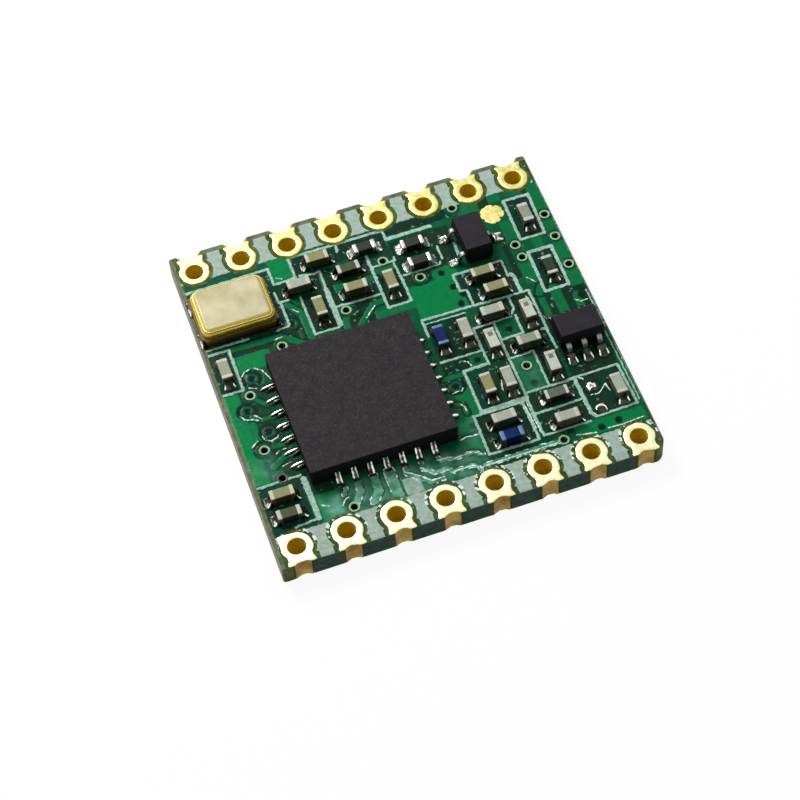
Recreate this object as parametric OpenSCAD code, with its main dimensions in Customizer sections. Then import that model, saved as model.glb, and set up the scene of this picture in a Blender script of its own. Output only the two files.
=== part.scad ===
// Small square radio module: a green circuit board with plated edge pads along two sides

/* [Board] */
// Spacing of the edge pads along a row
pad_pitch = 2; // [1.8:0.05:2.2]
// Distance between the two rows of pad holes
row_gap = 14; // [13.6:0.1:15]
// Bare board left and right of the outermost pad holes
side_margin = 0.85; // [0.75:0.05:1.2]
// Board beyond the far row of holes
far_margin = 1; // [0.9:0.05:1.1]
// Board beyond the near row of holes
near_margin = 0.8; // [0.75:0.05:1.1]
// Thickness of the board between its plated faces
board_t = 0.94; // [0.6:0.02:1.6]
// Radius of the three sharp board corners
corner_r = 0.12; // [0.05:0.01:0.3]
// Radius of the near right corner, which is filed round
filed_corner_r = 0.45; // [0.3:0.05:0.6]
// Thickness of the plated copper that stands on both faces
plate_t = 0.03; // [0.02:0.005:0.06]

/* [Edge pads] */
// Radius of the pad hole
hole_r = 0.38; // [0.3:0.01:0.42]
// Outer radius of the gold ring round a hole
ring_r = 0.63; // [0.56:0.01:0.7]
// Radius of the scallop in the board's edge inside its plating
scallop_r = 0.52; // [0.48:0.01:0.56]
// Wall of the plated lining in a scallop
lining_wall = 0.05; // [0.03:0.01:0.07]
// Distance from the pad hole to the centre of its scallop
scallop_offset = 1.21; // [1.15:0.01:1.25]
// Distance from the pad hole to the end of the gold on both faces
pad_reach = 0.79; // [0.76:0.01:0.85]
// Width of the gold between the ring and the edge
neck_w = 0.92; // [0.8:0.02:1.1]
// Width of the two ears at the end of the gold
ear_w = 1.1; // [1:0.02:1.3]
// Length of the ears along the pad
ear_l = 0.17; // [0.1:0.01:0.25]

/* [Vias and test pad] */
// Radius of a via hole inside its plating
via_r = 0.13; // [0.1:0.01:0.16]
// Wall of a via's plated tube
via_wall = 0.03; // [0.02:0.01:0.05]
// Outer radius of the ring round an open via
via_ring_r = 0.25; // [0.2:0.01:0.28]
// Radius of the dimple over a covered via
dimple_r = 0.13; // [0.08:0.01:0.16]
// Depth of the dimple over a covered via
dimple_depth = 0.08; // [0.04:0.01:0.2]
// Radius of the round gold test pad
test_pad_r = 0.52; // [0.4:0.01:0.6]
// Radius of the bites in the test pad's edge
bite_r = 0.08; // [0.05:0.01:0.12]

/* [Transceiver chip] */
// Side of the square body
chip_w = 6; // [5.8:0.05:6.2]
// Top of the body above its contacts' lower faces
chip_h = 0.87; // [0.7:0.01:1.1]
// Spacing of the contacts along a side
lead_pitch = 0.65; // [0.6:0.01:0.7]
// Width of a contact
lead_w = 0.3; // [0.24:0.01:0.36]
// Length of a contact under the body
lead_l = 0.5; // [0.4:0.01:0.7]
// Height of a contact in the side of the body
lead_h = 0.2; // [0.15:0.01:0.3]
// Gap between the body and the level that the contacts stand on
chip_gap = 0.02; // [0.01:0.005:0.04]
// Side of the soldered middle pad
heat_pad_w = 3.7; // [3:0.1:4.2]

/* [Crystal] */
// Length of the ceramic base
crystal_l = 3.2; // [3:0.05:3.3]
// Width of the ceramic base
crystal_w = 2.5; // [2.3:0.05:2.6]
// Height of the ceramic base
crystal_base_h = 0.4; // [0.3:0.01:0.6]
// Height of the sealing ring
crystal_ring_h = 0.26; // [0.1:0.01:0.35]
// Thickness of the lid's flange on its ring
lid_flange_t = 0.05; // [0.03:0.01:0.1]
// Height of the lid's raised middle above its flange
lid_rise = 0.07; // [0.04:0.01:0.15]
// Ledge of the base left free round the ring
ring_inset = 0.07; // [0.02:0.01:0.12]
// Step from the ring's outside to the lid's flange
lid_inset = 0.07; // [0.04:0.01:0.12]
// Step from the flange's outside to the lid's raised middle
flange_w = 0.1; // [0.05:0.01:0.14]
// Corner radius of the ring's outside
crystal_corner_r = 0.3; // [0.2:0.01:0.4]
// Width of the ring's band
ring_band = 0.3; // [0.2:0.01:0.5]
// Radius of the quarter-round notches in the base's corners
base_notch_r = 0.16; // [0.1:0.01:0.25]

/* [Small chips] */
// Length of a small black chip's body
small_chip_l = 1.9; // [1.8:0.05:2.1]
// Width of a small black chip's body
small_chip_w = 1.2; // [1.1:0.05:1.35]
// Height of a small black chip's body
small_chip_h = 0.9; // [0.7:0.05:1.1]
// How far a small black chip's sides lean in above and below its leads
mould_taper = 0.06; // [0.02:0.01:0.12]
// Gap under a small black chip's body
small_chip_gap = 0.08; // [0.03:0.01:0.15]
// Width of a gull-wing lead
wing_w = 0.24; // [0.18:0.01:0.3]
// Thickness of a gull-wing lead
wing_t = 0.11; // [0.08:0.01:0.15]
// Distance that a gull-wing lead reaches beyond the body
wing_reach = 0.46; // [0.38:0.01:0.5]
// Height of a gull-wing lead's shoulder above its foot
wing_h = 0.52; // [0.4:0.01:0.6]
// Length of a gull-wing lead's foot
wing_foot = 0.2; // [0.15:0.01:0.25]
// Length of a gull-wing lead's shoulder
wing_shoulder = 0.1; // [0.06:0.01:0.15]

/* [Chip parts] */
// Length of a chip part
chip_part_l = 1; // [0.95:0.01:1.05]
// Width of a chip part
chip_part_w = 0.5; // [0.45:0.01:0.55]
// Height of a capacitor or an inductor
tall_part_h = 0.5; // [0.4:0.01:0.6]
// Height of a resistor
flat_part_h = 0.35; // [0.3:0.01:0.45]
// Length of the metal cap on each end
end_cap_l = 0.24; // [0.15:0.01:0.3]
// How far the metal caps stand out round the body
end_cap_rise = 0.015; // [0.01:0.005:0.03]
// Radius of a chip part's long edges
part_edge_r = 0.05; // [0.03:0.01:0.08]

/* [Solder] */
// Thickness of the tinned land under a part
land_t = 0.03; // [0.02:0.005:0.05]
// Land left free on each side of a part's end
land_side = 0.04; // [0.02:0.01:0.06]
// How far a fillet reaches beyond the end of a chip part
fillet_reach = 0.26; // [0.2:0.01:0.28]
// How far a fillet climbs a tall chip part's end
tall_fillet_rise = 0.36; // [0.25:0.01:0.4]
// How far a fillet climbs a resistor's end
flat_fillet_rise = 0.28; // [0.2:0.01:0.3]
// How far a fillet reaches beyond the transceiver chip
toe_reach = 0.45; // [0.35:0.01:0.5]
// How far a fillet climbs the transceiver chip's contacts
toe_rise = 0.22; // [0.15:0.01:0.22]
// How far a fillet reaches beyond a gull-wing lead's toe
wing_toe_reach = 0.28; // [0.15:0.01:0.3]
// Blunt edge left at a fillet's foot and top
fillet_lip = 0.02; // [0.01:0.005:0.04]
// Length of the land under each corner of the crystal
crystal_land_l = 1; // [0.8:0.05:1.3]
// Width of the land under each corner of the crystal
crystal_land_w = 0.85; // [0.7:0.05:1.1]
// How far solder reaches beyond the crystal's ends
crystal_toe = 0.1; // [0.06:0.01:0.12]
// How far solder climbs the crystal's ends
crystal_toe_rise = 0.2; // [0.1:0.01:0.3]
// Side of a bare tinned land
bare_land_w = 0.5; // [0.4:0.02:0.6]
// Height of the solder on a bare land
bare_land_h = 0.12; // [0.08:0.01:0.2]

/* [Hidden] */
$fn = 48;
row_count = 8;
over = 0.5;
// The three heights that everything stands on
deck_z = plate_t + board_t;
face_z = deck_z + plate_t;
// The pad grid is centred on X, and its margins differ along Y
grid_y = (near_margin - far_margin) / 2;
board_w = (row_count - 1) * pad_pitch + 2 * side_margin;
board_l = row_gap + far_margin + near_margin;

// Places of the parts, counted from the middle of the pad grid
TRANSCEIVER_AT = [-2.63, -1.63];
CRYSTAL_AT = [-6.1, 4.34];
UPPER_CHIP_AT = [4.18, 4.22];
EDGE_CHIP_AT = [6.55, -1.6];
TEST_PAD_AT = [5.5, 5.47];
OPEN_VIAS = [
    [0.43, 4.75], [1.6, 3.4], [4.04, 6.36], [5.83, 3.58], [5.87, 2.89], [7.54, 4.67], [7.54, 3.44], [7.54, 1.88],
    [-1.77, 2.9], [-4.74, 2.12], [-6.65, 0.25], [-6.88, -2.42], [-4.41, -6.12], [4.1, -2.29], [4.2, -6.12],
    [-6.6, -3.9]
];
COVERED_VIAS = [
    [-6.33, 1], [-6.97, -0.44], [-6.44, -1.66], [-5.74, -4], [-4.03, 3.03], [2.49, 3.29], [2.71, 2.45],
    [2.72, 1.55], [2.95, 1.98], [7.44, 0.22], [4.1, -0.37], [2.38, -1.33], [1.12, -2.24], [1.12, -4.25],
    [4.1, -3.2], [6.32, -3.52], [5.8, -6.09], [6.55, -6]
];
BARE_LANDS = [[6.12, -4.15], [6.12, -5.25]];
// Leads of a small chip: the side that a lead leaves by, as an angle, and its place along that side
UPPER_CHIP_LEADS = [[90, -1], [90, 1], [270, 0]];
EDGE_CHIP_LEADS = [for (side = [90, 270], k = [-1 : 1]) [side, k]];

// Each chip part: where it stands and whether it is turned to lie along Y
CAPACITORS = [
    [[-2.13, 5.62], false], [[-3.23, 4.59], false], [[-1.09, 3.63], false], [[-2.78, 3.18], true],
    [[0.34, 3.43], true], [[6.71, 4.72], true], [[-7.27, 1.54], true], [[2.34, 0.03], true],
    [[3.99, 2.5], false], [[4.23, 1.58], false], [[3.68, 0.51], false], [[5.04, 0.05], true],
    [[3.17, -0.83], true], [[4.54, -1.36], false], [[5.04, -2.73], true], [[2.26, -2.82], true],
    [[3.13, -2.82], true], [[4.64, -5.36], false], [[2.31, -4.51], false], [[7.07, -4.67], true],
    [[-6.87, -4.8], false]
];
RESISTORS = [
    [[-0.1, 5.53], false], [[-1.06, 4.74], false], [[1.82, 5.04], false], [[1.82, 4.07], false],
    [[6.69, 1.9], true], [[4.67, -4.11], false], [[-6.86, -5.66], false]
];
INDUCTORS = [[[1.3, 0.05], true], [[2.31, -5.4], false]];

function numbered(stem, n) = [for (i = [1 : n]) str(stem, i)];

// Helpers

module rounded(w, l, r) {
    square([w - 2 * r, l], center = true);
    square([w, l - 2 * r], center = true);
    for (x = [-1, 1], y = [-1, 1])
        translate([x * (w / 2 - r), y * (l / 2 - r)]) circle(r);
}

// Stands its children on the board's top at a place counted from the middle of the pad grid
module on_board(at) {
    translate([at.x, at.y + grid_y, deck_z]) children();
}

// Puts its children at pad i, with +Y out over the edge of the far row (side 1) or near row (side -1)
module at_pad(i, side) {
    translate([(i - (row_count - 1) / 2) * pad_pitch, grid_y + side * row_gap / 2, 0])
        mirror([0, side < 0 ? 1 : 0, 0])
            children();
}

module each_pad() {
    for (i = [0 : row_count - 1]) {
        at_pad(i, 1) children();
        at_pad(i, -1) children();
    }
}

// Board

module board_outline() {
    x = board_w / 2;
    y = board_l / 2;
    difference() {
        square([board_w, board_l], center = true);
        for (c = [[-x, -y, corner_r], [-x, y, corner_r], [x, y, corner_r], [x, -y, filed_corner_r]])
            corner_waste(c.x, c.y, c.z);
    }
}

// The waste outside a round corner whose tip is at x, y
module corner_waste(x, y, r) {
    sx = sign(x);
    sy = sign(y);
    difference() {
        translate([x - sx * r / 2 + sx * over / 2, y - sy * r / 2 + sy * over / 2])
            square([r + over, r + over], center = true);
        translate([x - sx * r, y - sy * r]) circle(r);
    }
}

module circuit_board() {
    color("seagreen")
        difference() {
            translate([0, 0, plate_t]) linear_extrude(board_t) board_outline();
            each_pad() {
                translate([0, 0, -over]) cylinder(r = hole_r, h = face_z + 2 * over);
                translate([0, scallop_offset, -over]) cylinder(r = scallop_r + lining_wall, h = face_z + 2 * over);
            }
            for (v = OPEN_VIAS)
                on_board(v) translate([0, 0, -face_z]) cylinder(r = via_r + via_wall, h = face_z + over);
            for (v = COVERED_VIAS)
                on_board(v) translate([0, 0, -dimple_depth]) cylinder(r = dimple_r, h = dimple_depth + over);
        }
}

// Edge pads

module pad_outline(reach) {
    intersection() {
        union() {
            circle(ring_r);
            translate([-neck_w / 2, 0]) square([neck_w, reach]);
            translate([-ear_w / 2, pad_reach - ear_l]) square([ear_w, ear_l]);
        }
        translate([-ear_w, -ring_r - over]) square([2 * ear_w, reach + ring_r + over]);
    }
}

module edge_pad(i, side) {
    margin = side > 0 ? far_margin : near_margin;
    reach = min(pad_reach, margin);
    color("khaki")
        at_pad(i, side)
            difference() {
                union() {
                    for (z = [0, deck_z])
                        translate([0, 0, z]) linear_extrude(plate_t) pad_outline(reach);
                    if (i == 0 && side < 0)
                        pin_one_corner();
                    intersection() {
                        translate([0, scallop_offset, 0]) cylinder(r = scallop_r + lining_wall, h = face_z);
                        translate([-scallop_offset, 0, plate_t]) cube([2 * scallop_offset, margin, board_t]);
                    }
                }
                translate([0, 0, -over]) cylinder(r = hole_r, h = face_z + 2 * over);
                translate([0, scallop_offset, -over]) cylinder(r = scallop_r, h = face_z + 2 * over);
            }
}

// The first pad has one square corner on its ring
module pin_one_corner() {
    for (z = [0, deck_z])
        translate([-ring_r, -ring_r, z]) cube([ring_r, ring_r, plate_t]);
}

// Vias and test pad

module via_plating() {
    color("darkkhaki")
        for (v = OPEN_VIAS)
            translate([v.x, v.y + grid_y, 0])
                difference() {
                    union() {
                        cylinder(r = via_ring_r, h = plate_t);
                        translate([0, 0, deck_z]) cylinder(r = via_ring_r, h = plate_t);
                        cylinder(r = via_r + via_wall, h = face_z);
                    }
                    translate([0, 0, -over]) cylinder(r = via_r, h = face_z + 2 * over);
                }
}

module test_pad() {
    bites = 8;
    color("khaki")
        on_board(TEST_PAD_AT)
            linear_extrude(plate_t)
                difference() {
                    circle(test_pad_r);
                    for (a = [0 : 360 / bites : 359])
                        rotate(a) translate([test_pad_r, 0]) circle(bite_r);
                }
}

// Solder

// A fillet against the plane x = 0 that runs out along +X
module fillet(reach, rise, w) {
    r = min(reach, rise);
    rotate([90, 0, 0])
        translate([0, 0, -w / 2])
            linear_extrude(w)
                difference() {
                    square([reach, rise]);
                    translate([reach + fillet_lip, rise + fillet_lip]) circle(r);
                }
}

// A tinned land under a part's end, with the fillet that climbs its end face at x = 0
module joint(under, reach, rise, w) {
    translate([-under, -w / 2 - land_side, 0]) cube([under + reach, w + 2 * land_side, land_t]);
    fillet(reach, rise + land_t, w);
}

module chip_part_joints(part, rise) {
    on_board(part[0])
        for (turn = [0, 180])
            rotate((part[1] ? 90 : 0) + turn)
                translate([chip_part_l / 2, 0, 0])
                    joint(end_cap_l, fillet_reach, rise, chip_part_w);
}

module transceiver_joints() {
    on_board(TRANSCEIVER_AT)
        at_each_lead()
            translate([chip_w / 2, 0, 0])
                joint(lead_l, toe_reach, toe_rise, lead_w);
}

module small_chip_joints(at, leads, turned) {
    on_board(at)
        at_each_wing(leads, turned)
            translate([small_chip_w / 2 + wing_reach, 0, 0])
                joint(wing_foot, wing_toe_reach, wing_t, wing_w);
}

module crystal_joints() {
    on_board(CRYSTAL_AT)
        for (turn = [0, 180], y = [-1, 1])
            rotate(turn)
                translate([crystal_l / 2, y * (crystal_w - crystal_land_w) / 2, 0])
                    joint(crystal_land_l, crystal_toe, crystal_toe_rise, crystal_land_w);
}

module bare_land(at) {
    // A low drop of solder on its land, cut from a sphere
    drop_r = (bare_land_w * bare_land_w / 4 + bare_land_h * bare_land_h) / (2 * bare_land_h);
    on_board(at) {
        translate([0, 0, land_t / 2]) cube([bare_land_w, bare_land_w, land_t], center = true);
        intersection() {
            translate([0, 0, land_t + bare_land_h - drop_r]) sphere(drop_r);
            translate([-bare_land_w / 2, -bare_land_w / 2, 0]) cube([bare_land_w, bare_land_w, 2 * bare_land_h]);
        }
    }
}

module solder_joints() {
    color("silver") {
        for (p = CAPACITORS) chip_part_joints(p, tall_fillet_rise);
        for (p = INDUCTORS) chip_part_joints(p, tall_fillet_rise);
        for (p = RESISTORS) chip_part_joints(p, flat_fillet_rise);
        for (at = BARE_LANDS) bare_land(at);
        transceiver_joints();
        small_chip_joints(UPPER_CHIP_AT, UPPER_CHIP_LEADS, true);
        small_chip_joints(EDGE_CHIP_AT, EDGE_CHIP_LEADS, false);
        crystal_joints();
    }
}

// Transceiver chip

module at_each_lead() {
    per_side = 7;
    for (turn = [0, 90, 180, 270])
        rotate(turn)
            for (k = [0 : per_side - 1])
                translate([0, (k - (per_side - 1) / 2) * lead_pitch, 0])
                    children();
}

module lead_block(extra) {
    translate([chip_w / 2 - lead_l, -lead_w / 2, land_t - extra])
        cube([lead_l + extra, lead_w, lead_h + extra]);
}

module transceiver_body() {
    color("dimgray")
        on_board(TRANSCEIVER_AT)
            difference() {
                translate([-chip_w / 2, -chip_w / 2, land_t + chip_gap])
                    cube([chip_w, chip_w, chip_h - chip_gap]);
                at_each_lead() lead_block(over);
            }
}

module transceiver_leads() {
    color("silver")
        on_board(TRANSCEIVER_AT)
            at_each_lead() lead_block(0);
}

module transceiver_heat_pad() {
    color("darkgray")
        on_board(TRANSCEIVER_AT)
            translate([-heat_pad_w / 2, -heat_pad_w / 2, 0])
                cube([heat_pad_w, heat_pad_w, land_t + chip_gap]);
}

// Crystal

module crystal_base() {
    color("saddlebrown")
        on_board(CRYSTAL_AT)
            translate([0, 0, land_t])
                linear_extrude(crystal_base_h)
                    difference() {
                        square([crystal_l, crystal_w], center = true);
                        for (x = [-1, 1], y = [-1, 1])
                            translate([x * crystal_l / 2, y * crystal_w / 2]) circle(base_notch_r);
                    }
}

module crystal_ring() {
    outer_l = crystal_l - 2 * ring_inset;
    outer_w = crystal_w - 2 * ring_inset;
    color("gold")
        on_board(CRYSTAL_AT)
            translate([0, 0, land_t + crystal_base_h])
                linear_extrude(crystal_ring_h)
                    difference() {
                        rounded(outer_l, outer_w, crystal_corner_r);
                        square([outer_l - 2 * ring_band, outer_w - 2 * ring_band], center = true);
                    }
}

module lid_plate(inset, h) {
    linear_extrude(h)
        rounded(crystal_l - 2 * inset, crystal_w - 2 * inset, crystal_corner_r + ring_inset - inset);
}

module crystal_lid() {
    color("palegoldenrod")
        on_board(CRYSTAL_AT)
            translate([0, 0, land_t + crystal_base_h + crystal_ring_h]) {
                lid_plate(ring_inset + lid_inset, lid_flange_t);
                lid_plate(ring_inset + lid_inset + flange_w, lid_flange_t + lid_rise);
            }
}

// Small chips

module at_each_wing(leads, turned) {
    for (lead = leads)
        rotate(lead[0] + (turned ? 90 : 0))
            translate([0, lead[1] * lead_pitch, 0])
                children();
}

// A moulded body's width over its height, widest at the parting line that the leads leave by
module moulded_profile(w) {
    bottom = land_t + small_chip_gap;
    top = bottom + small_chip_h;
    part_z = land_t + wing_h - wing_t / 2;
    x = w / 2;
    polygon([
        [-x + mould_taper, bottom], [x - mould_taper, bottom], [x, part_z - wing_t / 2], [x, part_z + wing_t / 2],
        [x - mould_taper, top], [-x + mould_taper, top], [-x, part_z + wing_t / 2], [-x, part_z - wing_t / 2]
    ]);
}

module small_chip_body(at, turned) {
    color("dimgray")
        on_board(at)
            rotate(turned ? 90 : 0)
                intersection() {
                    rotate([90, 0, 0])
                        translate([0, 0, -small_chip_w / 2])
                            linear_extrude(small_chip_w) moulded_profile(small_chip_l);
                    rotate([90, 0, 90])
                        translate([0, 0, -small_chip_l / 2])
                            linear_extrude(small_chip_l) moulded_profile(small_chip_w);
                }
}

module small_chip_leads(at, leads, turned) {
    leg_end = wing_reach - wing_foot;
    color("silver")
        on_board(at)
            at_each_wing(leads, turned)
                translate([small_chip_w / 2, wing_w / 2, land_t])
                    rotate([90, 0, 0])
                        linear_extrude(wing_w)
                            polygon([
                                [0, wing_h], [wing_shoulder, wing_h], [leg_end + wing_t / 2, wing_t],
                                [wing_reach, wing_t], [wing_reach, 0], [leg_end - wing_t / 2, 0],
                                [wing_shoulder - wing_t / 2, wing_h - wing_t], [0, wing_h - wing_t]
                            ]);
}

// Chip parts

module bar(l, w, h, r) {
    rotate([90, 0, 90]) translate([0, 0, -l / 2]) linear_extrude(l) rounded(w, h, r);
}

module chip_part(part, h) {
    slim = 2 * end_cap_rise;
    on_board(part[0])
        rotate(part[1] ? 90 : 0)
            translate([0, 0, land_t + h / 2]) {
                bar(chip_part_l - end_cap_l, chip_part_w - slim, h - slim, part_edge_r);
                for (x = [-1, 1])
                    translate([x * (chip_part_l - end_cap_l) / 2, 0, 0])
                        bar(end_cap_l, chip_part_w, h, part_edge_r);
            }
}

module capacitor(i) {
    color("tan") chip_part(CAPACITORS[i], tall_part_h);
}

module resistor(i) {
    color("darkslategray") chip_part(RESISTORS[i], flat_part_h);
}

module inductor(i) {
    color("mediumblue") chip_part(INDUCTORS[i], tall_part_h);
}

circuit_board();
for (i = [0 : row_count - 1]) {
    edge_pad(i, -1);
    edge_pad(i, 1);
}
via_plating();
test_pad();
solder_joints();
transceiver_body();
transceiver_leads();
transceiver_heat_pad();
crystal_base();
crystal_ring();
crystal_lid();
small_chip_body(UPPER_CHIP_AT, true);  // upper_chip_body
small_chip_leads(UPPER_CHIP_AT, UPPER_CHIP_LEADS, true);  // upper_chip_leads
small_chip_body(EDGE_CHIP_AT, false);  // edge_chip_body
small_chip_leads(EDGE_CHIP_AT, EDGE_CHIP_LEADS, false);  // edge_chip_leads
for (i = [0 : len(CAPACITORS) - 1])
    capacitor(i);
for (i = [0 : len(RESISTORS) - 1])
    resistor(i);
for (i = [0 : len(INDUCTORS) - 1])
    inductor(i);
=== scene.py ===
# A small square radio module, dressed for a close view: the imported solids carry
# board relief, printed lines, solder and rounded parts made here in millimetres.
import math
import random

import bmesh
import bpy
import numpy as np
from mathutils import Matrix, Vector


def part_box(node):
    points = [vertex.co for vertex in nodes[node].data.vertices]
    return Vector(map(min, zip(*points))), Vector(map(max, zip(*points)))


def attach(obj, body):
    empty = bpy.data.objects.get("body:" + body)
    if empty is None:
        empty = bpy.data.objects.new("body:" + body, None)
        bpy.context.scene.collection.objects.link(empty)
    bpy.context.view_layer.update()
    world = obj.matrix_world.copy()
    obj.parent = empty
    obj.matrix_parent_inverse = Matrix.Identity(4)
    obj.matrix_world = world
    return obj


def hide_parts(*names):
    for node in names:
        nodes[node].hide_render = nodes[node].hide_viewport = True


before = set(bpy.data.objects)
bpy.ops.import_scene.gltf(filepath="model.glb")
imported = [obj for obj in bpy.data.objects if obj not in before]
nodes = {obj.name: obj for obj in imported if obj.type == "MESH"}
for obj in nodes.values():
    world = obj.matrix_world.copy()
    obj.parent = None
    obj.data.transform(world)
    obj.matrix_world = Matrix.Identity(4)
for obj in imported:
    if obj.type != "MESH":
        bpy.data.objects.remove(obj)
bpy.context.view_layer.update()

MM = 0.001
GRID_Y = -0.1           # the pad grid's centre along Y
PLATE = 0.03            # plating on each face
DECK = 0.97             # laminate's top
FACE = 1.0              # plated top
PITCH = 2.0
ROW = 7.0
HALF_W = 7.85
FAR_MARGIN = 1.0        # board beyond each row of holes
NEAR_MARGIN = 0.8
FAR_Y = ROW + FAR_MARGIN
NEAR_Y = -ROW - NEAR_MARGIN
FILED_R = 0.45          # the near right corner, which is filed round
HOLE_R = 0.38
RING_R = 0.63
SCALLOP_R = 0.52
SCALLOP_AT = 1.21
PAD_X = [(i - 3.5) * PITCH for i in range(8)]
LEAD_PITCH = 0.65       # contacts and leads of all three chips
LEAD_EXIT = 0.465       # height of a small chip's leads where they leave it
rng = random.Random(7)


def span(node):
    """A node's box in millimetres, counted from the pad grid's centre."""
    lo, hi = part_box(node)
    lo, hi = Vector(lo) / MM, Vector(hi) / MM
    lo.y -= GRID_Y
    hi.y -= GRID_Y
    return lo, hi


def link(name, data):
    """An object of this data, in the scene."""
    obj = bpy.data.objects.new(name, data)
    bpy.context.collection.objects.link(obj)
    return obj


def placed(x, y, turn=0.0):
    return Matrix.Translation((x, y, 0)) @ Matrix.Rotation(turn, 4, "Z")


def repaint(node, mat):
    nodes[node].data.materials.clear()
    nodes[node].data.materials.append(M[mat])


# Materials

class Graph:
    """Short calls for the nodes of a material or a world; each returns the node's result."""

    def __init__(self, owner):
        owner.use_nodes = True
        self.tree = owner.node_tree

    def new(self, kind, **settings):
        n = self.tree.nodes.new(kind)
        for key, value in settings.items():
            setattr(n, key, value)
        return n

    def put(self, node, key, value):
        socket = node.inputs[key]
        if isinstance(value, bpy.types.NodeSocket):
            self.tree.links.new(value, socket)
        elif isinstance(value, tuple) and len(value) == 3 and socket.type == "RGBA":
            socket.default_value = (*value, 1)
        else:
            socket.default_value = value

    def spread(self, value, lo, hi, a=0.0, b=1.0, curve="LINEAR"):
        n = self.new("ShaderNodeMapRange", clamp=True, interpolation_type=curve)
        for key, v in (("Value", value), ("From Min", lo), ("From Max", hi), ("To Min", a), ("To Max", b)):
            self.put(n, key, v)
        return n.outputs[0]

    def math(self, op, a, b=0.0, kind="ShaderNodeMath", result=0):
        n = self.new(kind, operation=op)
        self.put(n, 0, a)
        self.put(n, 1, b)
        return n.outputs[result]

    def blend(self, fac, a, b):
        n = self.new("ShaderNodeMixShader")
        for k, v in enumerate((fac, a, b)):
            self.put(n, k, v)
        return n.outputs[0]

    def seen_directly(self):
        """1 for the rays that should find a white background: the camera's, and those in metal and glass."""
        path = self.new("ShaderNodeLightPath").outputs
        metal_or_glass = self.math("MAXIMUM", path["Is Glossy Ray"], path["Is Transmission Ray"])
        return self.math("MAXIMUM", path["Is Camera Ray"], metal_or_glass)


class Paint(Graph):
    """A Principled material."""

    def __init__(self, name, **sockets):
        self.mat = bpy.data.materials.new(name)
        super().__init__(self.mat)
        self.bsdf = self.tree.nodes["Principled BSDF"]
        self.coords = self.new("ShaderNodeTexCoord").outputs["Object"]
        for key, value in sockets.items():
            self.put(self.bsdf, key.replace("_", " "), value)

    def noise(self, per_mm, detail=3, stretch=None):
        where = self.coords
        if stretch:
            m = self.new("ShaderNodeMapping")
            self.put(m, "Vector", where)
            self.put(m, "Scale", stretch)
            where = m.outputs[0]
        n = self.new("ShaderNodeTexNoise")
        self.put(n, "Vector", where)
        self.put(n, "Scale", per_mm / MM)
        self.put(n, "Detail", detail)
        return n.outputs[0]

    def cloud(self, per_mm, lo=0.3, hi=0.7, a=0.0, b=1.0, detail=3):
        return self.spread(self.noise(per_mm, detail), lo, hi, a, b)

    def mix(self, fac, a, b):
        n = self.new("ShaderNodeMix", data_type="RGBA")
        self.put(n, 0, fac)
        self.put(n, 6, a)
        self.put(n, 7, b)
        return n.outputs[2]

    def field(self, name):
        return self.new("ShaderNodeAttribute", attribute_name=name).outputs["Fac"]

    def axis(self, source, k):
        n = self.new("ShaderNodeSeparateXYZ")
        self.put(n, 0, source)
        return n.outputs[k]

    def bump(self, height, depth_mm, strength=1.0):
        n = self.new("ShaderNodeBump")
        self.put(n, "Height", height)
        self.put(n, "Distance", depth_mm * MM)
        self.put(n, "Strength", strength)
        self.put(self.bsdf, "Normal", n.outputs[0])
        return self

    def colour(self, value):
        self.put(self.bsdf, "Base Color", value)

    def rough(self, per_mm, low, high):
        self.put(self.bsdf, "Roughness", self.cloud(per_mm, a=low, b=high))

    def facing(self, k):
        return self.axis(self.new("ShaderNodeNewGeometry").outputs["Normal"], k)


def metal(name, light, dark, low, high, grain=9.0, depth=0.01):
    """Plated or tinned metal of uneven tone; low and high bound its roughness."""
    p = Paint(name, Metallic=1.0)
    p.colour(p.mix(p.cloud(grain, 0.35, 0.65), dark, light))
    p.rough(grain * 2.3, low, high)
    return p.bump(p.noise(grain * 1.4), depth).mat


def slope_shaded_metal(name, flat, steep, low, high, at=(0.72, 0.97)):
    """Soldered metal with painted light: pale where it lies flat as a painted highlight, dull and dark on its
    slopes as painted shade.
    """
    p = Paint(name, Metallic=1.0)
    # Painted highlight on flat faces, painted shade on slopes
    p.colour(p.mix(p.spread(p.facing(2), *at), steep, flat))
    p.rough(7, low, high)
    return p.bump(p.noise(5, 3), 0.01).mat


def solder_paint():
    """Solder: dull grey-green in its hollows and pale along the edges that its shine marks; the grey-green is
    painted shade and the pale is painted highlight.
    """
    p = Paint("solder", Metallic=1.0)
    speck = p.cloud(7, a=-0.22, b=0.22)
    # Painted shade: the dark grey-green that covers all the solder away from its shine
    shaded_solder = p.mix(p.cloud(4, 0.35, 0.65, detail=2), (0.01, 0.014, 0.009), (0.06, 0.07, 0.05))
    # Painted highlight where the shine attribute is high
    lit = p.spread(p.math("ADD", p.field("shine"), speck), 0.3, 0.7)
    p.colour(p.mix(lit, shaded_solder, (0.88, 0.89, 0.86)))
    p.rough(6, 0.16, 0.32)
    return p.bump(p.noise(5, 3), 0.012).mat


def pad_gold():
    """Pale plating, whiter towards the near row as a painted highlight."""
    p = Paint("pale_gold", Metallic=1.0)
    # Painted highlight: the plating's colour gets whiter towards the near row
    near = p.spread(p.axis(p.coords, 1), 5 * MM, -6 * MM)
    tone = p.mix(near, (0.65, 0.57, 0.185), (0.8, 0.755, 0.44))
    worn = p.mix(near, (0.73, 0.65, 0.27), (0.86, 0.83, 0.52))
    p.colour(p.mix(p.cloud(3, 0.4, 0.62), tone, worn))
    p.rough(6, 0.28, 0.45)
    return p.bump(p.noise(5), 0.006).mat


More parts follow.
